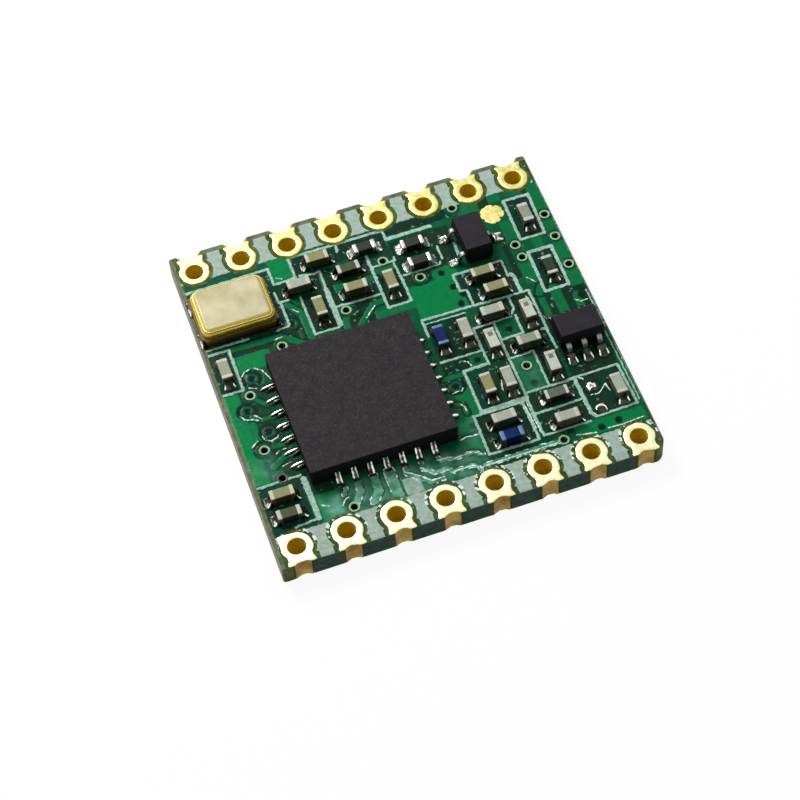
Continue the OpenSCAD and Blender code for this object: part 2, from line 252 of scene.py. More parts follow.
def matte(name, light, dark, low, high, grain=12.0, depth=0.006, side=None, **more):
    """A fired or printed surface; where side is given, its upright faces take that darker colour as painted
    shade.
    """
    p = Paint(name, **more)
    colour = p.mix(p.cloud(grain, detail=4), dark, light)
    if side:
        # Painted shade on the upright faces
        colour = p.mix(p.spread(p.facing(2), 0.25, 0.85), side, colour)
    p.colour(colour)
    p.rough(grain * 0.7, low, high)
    return p.bump(p.noise(grain * 2, 4), depth).mat


def board_body():
    """Laminate: green mask above and below and woven olive edges; the near edge is painted dark green as
    painted shade, a little lighter at its corners.
    """
    p = Paint("laminate", Specular_IOR_Level=0.1)
    flat = p.spread(p.math("ABSOLUTE", p.facing(2)), 0.4, 0.6)
    near = p.spread(p.facing(1), -0.3, -0.6)
    corner = p.spread(p.math("ABSOLUTE", p.axis(p.coords, 0)), 7.25 * MM, 7.5 * MM)
    weave = p.spread(p.noise(2.2, 4, (1, 1, 3)), 0.35, 0.65)
    olive = p.mix(weave, (0.12, 0.12, 0.07), (0.26, 0.25, 0.17))
    # Painted shade: the near face gets dark green, lighter towards its corners, instead of the olive weave
    green = p.mix(weave, (0.004, 0.02, 0.01), (0.01, 0.05, 0.028))
    near_corner_shade = p.mix(weave, (0.05, 0.07, 0.012), (0.11, 0.12, 0.03))
    side = p.mix(near, olive, p.mix(corner, green, near_corner_shade))
    mask = p.mix(p.cloud(1.4, 0.35, 0.65), (0.0, 0.09, 0.045), (0.0, 0.16, 0.075))
    inner = p.spread(p.math("ABSOLUTE", p.axis(p.coords, 0)), 7.78 * MM, 7.73 * MM)
    p.colour(p.mix(p.math("MULTIPLY", flat, inner), side, mask))
    p.rough(4, 0.35, 0.6)
    return p.bump(p.noise(7, 4, (1, 1, 2.5)), 0.012).mat


def board_top():
    """Solder mask over bare laminate and copper, with the printed lines, from the relief's fields; its dark
    tones round the parts are partly painted shade, and its glints and sparkles are painted highlights.
    """
    p = Paint("solder_mask", Specular_IOR_Level=0.05)
    tone = p.math("ADD", p.field("tone"), p.cloud(3.2, 0.3, 0.7, -0.08, 0.08, 4))
    dark = p.mix(p.spread(tone, 0.0, 0.35), (0.0012, 0.016, 0.009), (0.001, 0.062, 0.032))
    stain = p.cloud(1.7, 0.42, 0.66, detail=4)
    stain = p.math("MULTIPLY", stain, p.spread(p.field("tone"), 0.03, 0.1, 0.0, 0.6))
    dark = p.mix(stain, dark, (0.02, 0.026, 0.015))
    # Painted highlight: pale sparkles scattered over the dark areas, away from the pours
    painted_sparkle = p.cloud(4.5, 0.64, 0.7, detail=4)
    painted_sparkle = p.math("MULTIPLY", painted_sparkle, p.spread(p.field("tone"), 0.03, 0.1, 0.0, 0.5))
    painted_sparkle = p.math("MULTIPLY", painted_sparkle, p.spread(p.field("tone"), 0.3, 0.45, 1.0, 0.0))
    dark = p.mix(painted_sparkle, dark, (0.3, 0.42, 0.34))
    green = p.mix(p.spread(tone, 0.35, 1.0), dark, (0.0, 0.2, 0.054))
    speck = p.cloud(9, 0.25, 0.75, -0.3, 0.3)
    silk = p.spread(p.math("ADD", p.field("silk"), speck), 0.32, 0.62)
    ink = p.mix(p.cloud(8), (0.2, 0.37, 0.29), (0.46, 0.62, 0.53))
    fill = p.mix(p.cloud(5), (0.28, 0.37, 0.3), (0.4, 0.48, 0.42))
    printed = p.mix(p.spread(p.field("fill"), 0.3, 0.7), p.mix(silk, green, ink), fill)
    haze = p.mix(p.cloud(2.5, detail=4), (0.04, 0.23, 0.135), (0.2, 0.46, 0.35))
    printed = p.mix(p.field("haze"), printed, haze)
    moat = p.mix(p.cloud(4), (0.03, 0.055, 0.008), (0.1, 0.15, 0.03))
    printed = p.mix(p.field("warm"), printed, moat)
    # Painted highlight: the glint field lays pale glints over the print
    printed = p.mix(p.spread(p.math("ADD", p.field("glint"), speck), 0.35, 0.6), printed, (0.72, 0.84, 0.76))
    bare = p.spread(p.field("bare"), 0.3, 0.7)
    olive = p.mix(p.cloud(3, detail=4), (0.075, 0.09, 0.045), (0.17, 0.195, 0.11))
    p.colour(p.mix(bare, printed, olive))
    gloss = p.spread(p.field("silk"), 0.3, 0.7, 0.2, 0.55)
    p.put(p.bsdf, "Roughness", p.math("ADD", gloss, p.cloud(6, a=-0.05, b=0.1)))
    return p.bump(p.math("ADD", p.noise(5, 3), p.math("MULTIPLY", silk, 0.5)), 0.012).mat


def moulding(name, light, dark, top):
    """Black moulding compound with fine pale grains; its upright faces are painted near black as painted
    shade.
    """
    p = Paint(name, Specular_IOR_Level=0.1)
    base = p.mix(p.cloud(2.2, detail=4), dark, light)
    grain = p.cloud(10, 0.5, 0.72, detail=2)
    # Painted shade: upright faces get near black, the top the grained colour
    up = p.spread(p.facing(2), 0.3, 0.8)
    p.colour(p.mix(up, (0.003, 0.003, 0.003), p.mix(p.math("MULTIPLY", grain, 0.3), base, top)))
    p.rough(9, 0.55, 0.75)
    return p.bump(p.noise(18, 3), 0.008).mat


def crystal_body():
    """Dark ceramic with a painted reflection of the gold of the rim above it, in golden brown just below the
    rim.
    """
    p = Paint("crystal_ceramic", Specular_IOR_Level=0.2)
    base = p.mix(p.cloud(6), (0.012, 0.007, 0.003), (0.03, 0.018, 0.008))
    high = p.math("ADD", p.axis(p.coords, 2), p.math("MULTIPLY", p.noise(2), 0.1 * MM))
    # Painted reflection: golden brown just below the rim, fading downwards
    p.colour(p.mix(p.spread(high, RIM_FROM - 0.22 * MM, RIM_FROM + 0.03 * MM), base, (0.2, 0.1, 0.012)))
    p.rough(5, 0.4, 0.6)
    return p.bump(p.noise(14), 0.006).mat


# Height in metres at which the crystal's gold begins
RIM_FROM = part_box("crystal_ring")[0][2]
# Where side= is given, it is painted shade for the upright faces
M = {
    "laminate": board_body(),
    "mask": board_top(),
    "gold": pad_gold(),
    "barrel": matte("hole_gold", (0.62, 0.42, 0.012), (0.48, 0.32, 0.008), 0.5, 0.7, 2.0, 0.01,
                    Specular_IOR_Level=0.1),
    "lining": metal("scallop_gold", (0.36, 0.25, 0.055), (0.2, 0.125, 0.02), 0.4, 0.65, 1.6, 0.02),
    "via": matte("via_ring", (0.22, 0.4, 0.17), (0.1, 0.26, 0.11), 0.4, 0.6, 6.0, 0.01),
    "via_rim_highlight": matte("via_rim_highlight", (0.5, 0.64, 0.38), (0.2, 0.38, 0.18), 0.4, 0.6, 4.0, 0.01),
    "via_dark": matte("via_tented", (0.003, 0.05, 0.027), (0.001, 0.025, 0.013), 0.3, 0.5, 6.0, 0.01),
    "via_hole_shade": matte("via_hole_shade", (0.004, 0.009, 0.005), (0.001, 0.002, 0.001), 0.6, 0.8),
    "solder": solder_paint(),
    "bright_tin": metal("bright_tin", (0.8, 0.79, 0.76), (0.4, 0.4, 0.38), 0.2, 0.4, 7.0, 0.02),
    "tin": matte("end_metal", (0.62, 0.59, 0.46), (0.46, 0.43, 0.31), 0.35, 0.5, 8.0, side=(0.1, 0.09, 0.05),
                  Specular_IOR_Level=0.2),
    "pale_end": matte("pale_end", (0.58, 0.57, 0.49), (0.42, 0.41, 0.34), 0.35, 0.5, 8.0,
                      side=(0.085, 0.085, 0.06), Specular_IOR_Level=0.2),
    "lead": slope_shaded_metal("lead_frame", (0.26, 0.255, 0.24), (0.1, 0.098, 0.09), 0.25, 0.4, (0.1, 0.95)),
    "chip": moulding("moulded_top", (0.027, 0.023, 0.025), (0.017, 0.0145, 0.017), (0.085, 0.072, 0.078)),
    "small_chip": moulding("moulded_small", (0.023, 0.02, 0.024), (0.015, 0.0135, 0.017),
                           (0.035, 0.032, 0.038)),
    "ceramic": crystal_body(),
    "lid": matte("crystal_lid", (0.41, 0.37, 0.225), (0.28, 0.235, 0.12), 0.42, 0.52, 1.1, 0.002,
                 Metallic=0.3),
    # Painted shade of a groove, laid on flat faces of the rim and lid
    "groove_shade": matte("rim_groove_shade", (0.3, 0.2, 0.025), (0.16, 0.1, 0.01), 0.4, 0.6),
    "side_gold": matte("rim_side", (0.6, 0.42, 0.035), (0.34, 0.21, 0.015), 0.3, 0.45, 2.0, Metallic=0.3),
    "gold_line": matte("rim_gold", (0.74, 0.6, 0.1), (0.6, 0.46, 0.05), 0.25, 0.4, 2.0, 0.004, Metallic=0.4),
    "glass": matte("resistor_glass", (0.022, 0.023, 0.02), (0.012, 0.013, 0.011), 0.4, 0.6,
                   Specular_IOR_Level=0.2),
    "alumina": matte("resistor_ceramic", (0.03, 0.03, 0.025), (0.015, 0.015, 0.012), 0.5, 0.7,
                     side=(0.006, 0.006, 0.004), Specular_IOR_Level=0.2),
    "blue": matte("blue_ceramic", (0.0004, 0.017, 0.14), (0.0002, 0.006, 0.05), 0.35, 0.5, 3.0,
                  side=(0.0, 0.004, 0.035), Specular_IOR_Level=0.1),
    "pale_blue": matte("blue_end", (0.1, 0.24, 0.34), (0.05, 0.13, 0.22), 0.3, 0.5, side=(0.008, 0.02, 0.05)),
    "mark": matte("square_mark", (0.16, 0.14, 0.12), (0.1, 0.09, 0.08), 0.5, 0.7),
}
CERAMICS = {
    "tan": ((0.275, 0.27, 0.135), (0.205, 0.2, 0.092)),
    "grey_tan": ((0.34, 0.355, 0.25), (0.26, 0.275, 0.18)),
    "grey": ((0.28, 0.305, 0.24), (0.215, 0.24, 0.185)),
    "pale": ((0.39, 0.42, 0.345), (0.305, 0.33, 0.265)),
    "white": ((0.54, 0.585, 0.48), (0.44, 0.475, 0.385)),
    "brown": ((0.12, 0.14, 0.11), (0.08, 0.095, 0.07)),
    "smoke": ((0.065, 0.085, 0.04), (0.04, 0.05, 0.022)),
    "murk": ((0.025, 0.045, 0.022), (0.014, 0.026, 0.012)),
}
for key, (light, dark) in CERAMICS.items():
    # Painted shade for the upright faces of each ceramic
    shade = (light[0] * 0.2, light[1] * 0.19, light[2] * 0.14)
    M[key] = matte("ceramic_" + key, light, dark, 0.35, 0.55, 10.0, side=shade, Specular_IOR_Level=0.15)


# Geometry helpers. Everything is in millimetres from the pad grid's centre until it is finished.

class Piece:
    """One object made of several closed shapes, each with its own material."""

    def __init__(self, name):
        self.name = name
        self.verts, self.faces, self.mats, self.which, self.shine = [], [], [], [], []

    def add(self, verts, faces, mat, move=None, shine=None):
        base = len(self.verts)
        self.verts += [move @ Vector(v) for v in verts] if move else [Vector(v) for v in verts]
        self.shine += shine if shine else [0.0] * len(verts)
        self.faces += [[i + base for i in f] for f in faces]
        if mat not in self.mats:
            self.mats.append(mat)
        self.which += [self.mats.index(mat)] * len(faces)
        return self

    def block(self, lo, hi, r, mat, move=None, segments=2):
        bm = bmesh.new()
        bmesh.ops.create_cube(bm, size=1)
        for v in bm.verts:
            v.co = Vector([lo[k] + (v.co[k] + 0.5) * (hi[k] - lo[k]) for k in range(3)])
        bmesh.ops.bevel(bm, geom=bm.edges[:], offset=r, segments=segments, profile=0.6, affect="EDGES")
        # The six broad faces get an inner border, so that their shading stays flat
        broad = sorted(bm.faces, key=lambda f: f.calc_area())[-6:]
        bmesh.ops.inset_individual(bm, faces=broad, thickness=min(0.006, r / 3))
        bm.verts.index_update()
        self.add([v.co.copy() for v in bm.verts], [[v.index for v in f.verts] for f in bm.faces], mat, move)
        bm.free()

    def tint(self, start, stop, mat):
        """Gives the faces from start up to stop another material."""
        if mat not in self.mats:
            self.mats.append(mat)
        self.which[start:stop] = [self.mats.index(mat)] * (stop - start)

    def loft(self, rings, mat, move=None, closed=False, shine=None):
        """Rings of equal count joined in order, with flat caps unless the rings close on themselves."""
        n = len(rings[0])
        verts = [p for ring in rings for p in ring]
        faces = []
        last = len(rings) if closed else len(rings) - 1
        for k in range(last):
            a, b = k * n, (k + 1) % len(rings) * n
            faces += [[a + i, a + (i + 1) % n, b + (i + 1) % n, b + i] for i in range(n)]
        if not closed:
            faces += [list(range(n))[::-1], list(range((len(rings) - 1) * n, len(rings) * n))]
        return self.add(verts, faces, mat, move, shine)

    def make(self, slot, *stands_for, smooth=40):
        mesh = bpy.data.meshes.new(self.name)
        mesh.from_pydata([(v.x * MM, (v.y + GRID_Y) * MM, v.z * MM) for v in self.verts], [], self.faces)
        for mat in self.mats:
            mesh.materials.append(M[mat])
        mesh.polygons.foreach_set("material_index", self.which)
        mesh.validate()
        bm = bmesh.new()
        bm.from_mesh(mesh)
        bmesh.ops.recalc_face_normals(bm, faces=bm.faces)
        for e in bm.edges:
            e.smooth = len(e.link_faces) == 2 and e.calc_face_angle(0) < math.radians(smooth)
        bm.to_mesh(mesh)
        bm.free()
        mesh.polygons.foreach_set("use_smooth", [True] * len(mesh.polygons))
        # The shine attribute carries the solder's painted highlights
        if any(self.shine):
            mesh.attributes.new("shine", "FLOAT", "POINT").data.foreach_set("value", self.shine)
        obj = link(self.name, mesh)
        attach(obj, "root")
        if stands_for:
            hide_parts(*stands_for)


def rounded_ring(w, l, r, z, inset=0.0, steps=6):
    """Corners of a rounded rectangle at height z, centred on the origin."""
    w, l, r = w / 2 - inset, l / 2 - inset, max(r - inset, 0.004)
    points = []
    for q, (sx, sy) in enumerate(((1, 1), (-1, 1), (-1, -1), (1, -1))):
        for k in range(steps + 1):
            a = math.radians(90 * q + 90 * k / steps)
            points.append((sx * (w - r) + r * math.cos(a), sy * (l - r) + r * math.sin(a), z))
    return points


def revolve(piece, profile, at, mat, n=32, closed=True, wobble=0.0):
    """A profile of (radius, height) pairs turned round a point of the board."""
    rings = []
    for r, z in profile:
        ring = []
        for k in range(n):
            a = 2 * math.pi * k / n
            s = r * (1 + wobble * math.sin(3 * a + at[0] * 5) + wobble * 0.6 * math.sin(5 * a + at[1] * 3))
            ring.append((at[0] + s * math.cos(a), at[1] + s * math.sin(a), z))
        rings.append(ring)
    piece.loft(rings, mat, closed=closed)


# Board face: a fine relief whose height and paint fields come from signed distances

def seg_distance(x, y, line):
    best = np.full(x.shape, 99.0)
    for ax, ay, bx, by in zip(line[::2], line[1::2], line[2::2], line[3::2]):
        dx, dy = bx - ax, by - ay
        t = np.clip(((x - ax) * dx + (y - ay) * dy) / (dx * dx + dy * dy + 1e-12), 0, 1)
        best = np.minimum(best, np.hypot(x - ax - t * dx, y - ay - t * dy))
    return best


def rect_distance(x, y, x0, y0, x1, y1):
    dx = np.maximum(x0 - x, x - x1)
    dy = np.maximum(y0 - y, y - y1)
    return np.hypot(np.maximum(dx, 0), np.maximum(dy, 0)) + np.minimum(np.maximum(dx, dy), 0)


def cover(distance, soft):
    """1 well inside, 0 well outside, smooth over the soft width."""
    t = np.clip(0.5 - distance / soft, 0, 1)
    return t * t * (3 - 2 * t)


def drawn(x, y, lines_of, soft):
    """Cover of the lines kept under each width."""
    best = np.zeros(x.shape)
    for width, lines in lines_of.items():
        for line in lines:
            best = np.maximum(best, cover(seg_distance(x, y, line) - width / 2, soft))
    return best


# Tone of the mask over each area, 0 over bare laminate and 1 over a broad pour; the dark zones round the
# parts and the crystal are partly painted shade: (tone, x0, y0, x1, y1)
ZONES = [
    (0.2, -7.8, 3, -4.15, 6.02), (0.42, -7.8, 6.12, -4.1, 6.5), (0.95, -4.08, 5.3, -3.25, 6.45),
    (0.1, -3.12, 5.35, 0.85, 6.28), (0.1, 0.95, 5.95, 3.9, 6.5), (0.5, 2.9, 5.6, 3.85, 5.92),
    (0.72, 4.15, 5.72, 5.1, 6.45), (0.08, 5.12, 5.95, 5.58, 6.5), (0.7, 5.6, 6.05, 6.1, 6.5),
    (0.6, 6.3, 6.1, 7.02, 6.5), (0.22, 7.06, 5.98, 7.3, 6.5), (0.7, 7.3, 3, 7.87, 6.45),
    (0.13, 0.95, 3.55, 3.55, 5.6), (0.14, -4.2, 3.1, -3.4, 5.25), (0.6, -3.95, 3.25, -3.42, 4.2),
    (0.1, -3.15, 4.3, -2.3, 5.2), (0.1, -3.25, 2.25, -2.3, 4.25), (0.13, -2.1, 3.22, -0.18, 5.22),
    (0.65, -1.86, 3.85, -1.42, 4.3), (0.65, -0.52, 3.92, -0.18, 4.25), (0.12, -0.15, 2.45, 0.85, 4.2),
    (0.7, 0, 4.2, 0.82, 4.45), (0.3, -0.1, 4.55, 0.9, 5.3), (0.9, 0.95, 1.35, 3.12, 3.6),
    (0.28, 0.95, 3.05, 2.15, 3.7), (0.7, -3.62, 2.05, -3.32, 3.05), (0.1, -2.2, 1.4, -0.7, 3.1),
    (0.75, -0.7, 2.02, 1, 2.36), (0.12, -6.75, 2.24, -3.9, 2.92), (0.95, -6.72, 1.4, -5.3, 2.22),
    (0.22, -7.7, 0.65, -6.85, 2.66), (0.34, -7.04, -3.96, -5.6, 0.55), (0.97, -7.76, -3.92, -7.1, 0.5),
    (0.85, -7.12, -1.95, -6.82, -1), (0.22, -7.75, -6.35, -5.95, -4.05), (0.25, -5.65, -5.05, -4.6, -4.1),
    (0.85, -5.66, -6.3, -4.78, -5.1), (0.5, -4.72, -6.4, 0.95, -4.9), (0.7, 0.42, -5.38, 1.2, -3.9),
    (0.12, 0.5, -4.64, 1.2, -4.52), (0.78, 0.95, -3.9, 1.6, -2.5), (0.1, 0.98, -0.9, 2.68, 1.12),
    (0.1, 0.9, -1.6, 2.66, -1.02), (0.55, 2.08, -1.6, 2.66, -1.08), (0.25, 1.72, -3.66, 3.5, -1.7),
    (0.1, 3.2, 0.2, 4.55, 1.12), (0.5, 3.66, -0.7, 4.5, 0.14), (0.1, 2.7, -1.7, 3.55, 0.15),
    (0.6, 3.62, -3.5, 4.56, -1.78), (0.1, 4.65, -3.5, 5.48, 1.12), (0.1, 3.62, -1.7, 5.48, -0.8),
    (0.12, 3, 1.22, 5.1, 3), (0.72, 5.58, 1.5, 6.12, 4.9), (0.1, 5.28, 1.9, 5.56, 3.9),
    (0.12, 5.58, -0.35, 7.84, 0.92), (0.14, 6.25, 0.98, 7.15, 3), (0.75, 7.22, 0.75, 7.86, 3),
    (0.75, 6.58, 3.08, 6.96, 3.7), (0.14, 6.2, 3.8, 7.2, 5.9), (0.1, 5.6, -3.45, 7.6, -0.4),
    (0.15, 5.68, -5.48, 7.45, -3.55), (0.5, 7.56, -5.5, 7.86, -1.5), (0.1, 1.3, -5.7, 3.3, -3.8),
    (0.12, 3.62, -5.6, 5.6, -3.56), (0.86, 4.78, -6.32, 7.66, -5.68), (0.16, 0.98, -5.9, 4.7, -5.72),
    (0.3, 0.98, -6.3, 4, -5.9),
]
# Copper runs under the mask: (width, x, y, x, y, ...)
TRACES = [
    (0.3, -6.7, 2.66, -4.7, 2.6, -3.95, 2), (0.26, -1.77, 2.75, -1.95, 2.35, -1.98, 1.9),
    (0.26, -0.2, 2.82, -0.65, 2.8, -1.4, 2.02), (0.2, -6.62, 0.1, -6.1, -0.42),
    (0.2, -6.85, -0.75, -6.55, -1.02, -6.1, -1.02), (0.22, -6.75, -2.35, -6.1, -2.4),
    (0.25, -6.75, -3.3, -6.1, -2.9), (0.26, -3.95, -5.05, -3.95, -5.55, -4.3, -6),
    (0.32, -3.27, -5.05, -3.27, -5.75, -3.6, -6.15), (0.42, -2.65, -5.05, -2.65, -6.4),
    (0.16, -1.98, -5.1, -2.05, -5.4, -1.3, -6.12, -0.75, -6.12),
    (0.16, -1.36, -5.1, -1.4, -5.4, -1.02, -5.75, -0.5, -5.75, -0.3, -5.95, 0.5, -5.95, 0.82, -6.3),
    (0.16, -0.7, -5.1, -0.58, -5.28, -0.1, -5.4, 0.7, -5.4, 1.02, -5.62), (0.16, -4.45, -5.2, -4.6, -5.45),
    (0.22, 0.75, -1.76, 1.62, -1.78), (0.26, 5.86, 0.9, 5.86, -0.3), (0.44, 6.52, 0.95, 6.52, -0.3),
    (0.3, 7.24, 0.3, 7.24, -0.3), (0.3, 6.05, 1.2, 5.88, 0.9), (0.18, 0.8, -3.05, 1.1, -3.2, 1.12, -3.6),
    (0.3, -3.9, 4, -3.5, 3.4, -3.46, 2.1), (0.2, 0.95, -6.12, 4, -6.12),
]
# Printed lines as x, y, x, y, ..., under their width
SILK = {
    0.03: [(7.79, -2.6, 7.8, -5)],
    0.05: [(7.82, 6.4, 7.82, -5.6), (7.72, 0.4, 7.72, -1.6), (7.62, -1.2, 7.68, -3.3, 7.68, -5.4)],
    0.06: [(1, 1.07, 2.7, 1.06)],
    0.08: [(0.85, 3.9, 0.83, 4.5), (1, 3.75, 1.9, 3.74, 2.6, 3.8, 2.65, 3.9), (3.6, -3.75, 3.6, -3.5)],
    0.09: [(2.78, 4.7, 2.78, 4), (-6.8, -6.18, -5.8, -6.1)],
    0.1: [
        (-4.24, 4.8, -4.22, 4.25, -3.8, 4.25), (-4.15, 4.2, -4.15, 3.05), (-7.78, 2.95, -5.9, 2.95),
        (-4.7, 2.92, -4.2, 2.98), (-3.31, 4.2, -3.31, 2.2, -2.27, 2.2, -2.27, 3.9),
        (-3, 5.25, -2.4, 5.15, -2.17, 5.2, -2.2, 4.2), (-2.15, 3.2, -0.15, 3.18),
        (-0.1, 4.6, 0.9, 4.62, 0.93, 4.8), (0.93, 1.25, 0.92, 0.45), (0.95, -0.94, 2.7, -0.96),
        (2.72, 0.15, 2.72, -1.68), (2.88, 3.02, 2.88, 2.15, 3.16, 2.12, 3.16, 1.25),
        (2.88, 3.02, 5, 3.04, 5, 2.2), (4.62, 1.14, 4.62, 0.55, 4.35, 0.22, 2.75, 0.18),
        (3.57, -0.75, 3.57, -3.5), (3.55, -1.73, 4.6, -1.7, 4.6, -3.5), (5.5, -0.9, 5.54, -1.9),
        (-7.78, -4.02, -5.9, -4), (3.55, -3.5, 3.55, -5.65, 5.5, -5.68), (3.55, -3.52, 5.6, -3.54),
        (3.55, -4.58, 5.6, -4.56), (5.4, -3.5, 7.5, -3.5, 7.54, -5.5, 5.8, -5.56),
    ],
    0.11: [
        (-7.78, 6.02, -4.15, 6.06, -4.13, 5.2, -3.2, 5.22, -3.2, 6.3, 0.9, 6.3, 0.92, 5.8),
        (-1.15, 6.2, -1.18, 5.9), (0.94, 1.3, 3.2, 1.27, 5.5, 1.2), (5.5, 1.2, 5.52, -0.85, 5.3, -0.8),
        (3.6, 0.18, 3.6, -0.74, 4.55, -0.74, 4.56, 0.2),
        (3.4, -3.85, 1.28, -3.84, 1.25, -5.72, 3.33, -5.74, 3.3, -3.85),
    ],
    0.12: [
        (-7.76, 2.7, -6.82, 2.7, -6.82, 0.62, -7.76, 0.6),
        (-0.12, 5.25, -0.12, 2.4, 0.87, 2.42, 0.87, 3.8), (3.5, 4.6, 3.46, 3.9),
        (2.7, -1.64, 1.66, -1.66, 1.66, -3.62),
    ],
    0.13: [
        (6.18, 3.03, 7.2, 3.03, 7.17, 0.92, 6.13, 0.9, 6.18, 3.03),
        (6.17, 5.95, 7.28, 5.95, 7.2, 3.76, 6.14, 3.78, 6.17, 5.95),
    ],
    0.15: [(5.65, -3.5, 5.66, -5.3, 5.8, -5.5)],
    0.16: [(5.12, 2.25, 5.2, 2.1, 5.2, 1.3)],
    0.17: [(0.92, 5.79, 2.85, 5.8)],
    0.2: [(-2.2, 4.2, -2.2, 2.3), (1.66, -3.76, 3.55, -3.74)],
    0.22: [(-5.84, -4.2, -5.82, -6.1)],
}
# Painted glints, highlights where the mask climbs a copper edge, under their width
GLINTS = {
    0.04: [(-6.45, -3.35, -6.05, -3.3), (-6.5, -2.75, -6.3, -2.6, -6.05, -2.62), (3.45, -3.9, 3.5, -5.5)],
    0.05: [
        (-6.7, 1.25, -6.5, 1.45, -6.3, 1.5), (-6.1, 1.47, -5.85, 1.25, -5.62, 0.75),
        (-7.3, -0.55, -7.2, -0.75, -6.85, -0.9, -6.7, -1), (-6.75, -0.7, -6.5, -1),
        (-6.75, -1.75, -6.72, -1.95, -6.5, -2.08, -6.2, -2, -6.15, -1.9), (-7.3, -2.15, -7, -1.92),
        (-1.1, 2.25, -0.62, 2.7), (-6.8, 2.7, -6.8, 2.4), (-3.95, 5.5, -3.75, 5.35),
        (-3.82, 3.75, -3.62, 3.5), (1.85, -1.2, 2, -1.3, 2.05, -1.5), (0.98, -6.15, 4, -6.17),
        (-2.1, -5.3, -1.5, -5.75, -1.2, -6.05, -0.75, -6.05), (-1.45, -5.35, -1.05, -5.82, -0.45, -5.82),
        (-0.3, -5.98, 0.5, -5.96, 0.8, -6.25), (-0.75, -5.25, -0.1, -5.3),
        (-0.1, -5.42, 0.7, -5.38, 1, -5.6), (5.65, 1.85, 5.95, 1.5), (4.75, -6.1, 5.5, -6.25),
        (6, -6.2, 6.6, -6.25, 7.5, -6.2), (5.98, -4.5, 6.3, -4.55, 6.7, -4.2, 6.75, -4.6),
        (7.1, 0.1, 7.3, -0.08, 7.6, -0.05), (1, -3.1, 1.1, -3.25, 1.12, -3.5),
        (-4.8, -5.9, -4.65, -5.7, -4.45, -5.62), (3.75, -1.75, 4.5, -1.75),
        (0.9, -2.5, 1.3, -2.5, 1.35, -2.4), (6.7, 2.2, 6.8, 1.9), (5.3, 1, 5.4, 0.5),
        (2.9, -2.6, 2.8, -3.1), (5.2, -2.4, 5.1, -2.9), (3.35, -4.1, 3.4, -5.2),
    ],
    0.06: [
        (-6.58, 0.65, -6.3, 0.5), (-4.6, 2.55, -4.9, 2.52), (0.4, -4.7, 0.62, -4.64, 1.15, -4.68),
        (5.8, -3.55, 5.95, -3.7), (-5.55, -5.6, -5.3, -5.75),
    ],
}
OPEN_VIAS = [
    (0.43, 4.75), (1.6, 3.4), (4.04, 6.36), (5.83, 3.58), (5.87, 2.89), (7.54, 4.67), (7.54, 3.44),
    (7.54, 1.88), (-1.77, 2.9), (-4.74, 2.12), (-6.65, 0.25), (-6.88, -2.42), (-4.41, -6.12), (4.1, -2.29),
    (4.2, -6.12), (-6.6, -3.9),
]
COVERED_VIAS = [
    (-6.33, 1), (-6.97, -0.44), (-6.44, -1.66), (-5.74, -4), (-4.03, 3.03), (2.49, 3.29), (2.71, 2.45),
    (2.72, 1.55), (2.95, 1.98), (7.44, 0.22), (4.1, -0.37), (2.38, -1.33), (1.12, -2.24), (1.12, -4.25),
    (4.1, -3.2), (6.32, -3.52), (5.8, -6.09), (6.55, -6),
]
# Areas where flux leaves the mask pale: (strength, x0, y0, x1, y1)
HAZE = [
    (0.4, -4.4, -6.4, 0.9, -5), (0.3, -7.7, -3.9, -6.6, -2.7), (0.75, -5.6, -6.4, -4.7, -5.3),
    (0.25, 0.5, -6.2, 1.2, -3.9), (0.2, 3.7, -3.5, 4.5, -1.8),
]
PALE_FROM = -4.9        # traces that start nearer than this are pale
# Vias that a moat sets apart from the pour, with an island of copper round each
MOATED = [
    (-6.33, 1), (-6.97, -0.44), (-6.44, -1.66), (-4.03, 3.03), (-6.88, -2.42), (1.12, -2.24), (1.6, 3.4),
]
MOAT_R, ISLAND_R = 0.44, 0.26
OPEN_VIA_R, COVERED_VIA_R = 0.34, 0.15

# The relief ends just inside the solid's edges, and under the rings of pads and vias
CORNER_AT, CORNER_R = 0.13, 0.11
FILED_CUT = 0.43
SCALLOP_CUT = SCALLOP_R + 0.052
HOLE_CUT = 0.5
VIA_CUT = 0.19

# A pad's neck runs from its ring to the scallop, with an ear on each side of it
NECK_HALF, NECK_FROM = 0.5, 0.1
EAR_HALF, EAR_FROM = 0.57, 0.64
PAD_END = 0.9
HALO = 0.13             # width of the clearance round a pad
HALO_FROM = 6.2         # it is laid beyond this distance from the middle

# Grey-white fields between the pads: their inner and outer ends, and the ink patch beside them
FAR_FIELD = (6.47, 7.78)
NEAR_FIELD = (6.4, 7.8)
FIELD_HALF_W = 7.72
INK_PATCH = (-2.33, -6.38, -1.62, -5.6)
SPECK_R = 0.76          # ring of painted glint specks round the near pads
BARE_FAR, BARE_RIGHT, BARE_LEFT = 7.78, 7.8, 7.68  # the mask ends here
MASK_T, COPPER_T, INK_T, BARE_T = 0.004, 0.014, 0.006, 0.003  # thickness of each layer
EDGE_LINE_Y, EDGE_LINE_T = 7.42, 0.008  # a raised line in the near row's fields
DIMPLE = 0.03           # depth of a covered via


def ripple(x, y, k):
    """A smooth, repeatable wander for edges that aren't ruled straight."""
    return np.sin(3.1 * x * k + 1.7 * y * k) * np.cos(2.3 * y * k - 1.1 * x * k + 0.7)


def pad_frame(x, y):
    """Position from the hole of the nearest pad: along the row, and outwards."""
    i = np.clip(np.round(x / PITCH + 3.5), 0, 7)
    px = x - (i - 3.5) * PITCH
    py = np.abs(y) - ROW
    return px, py


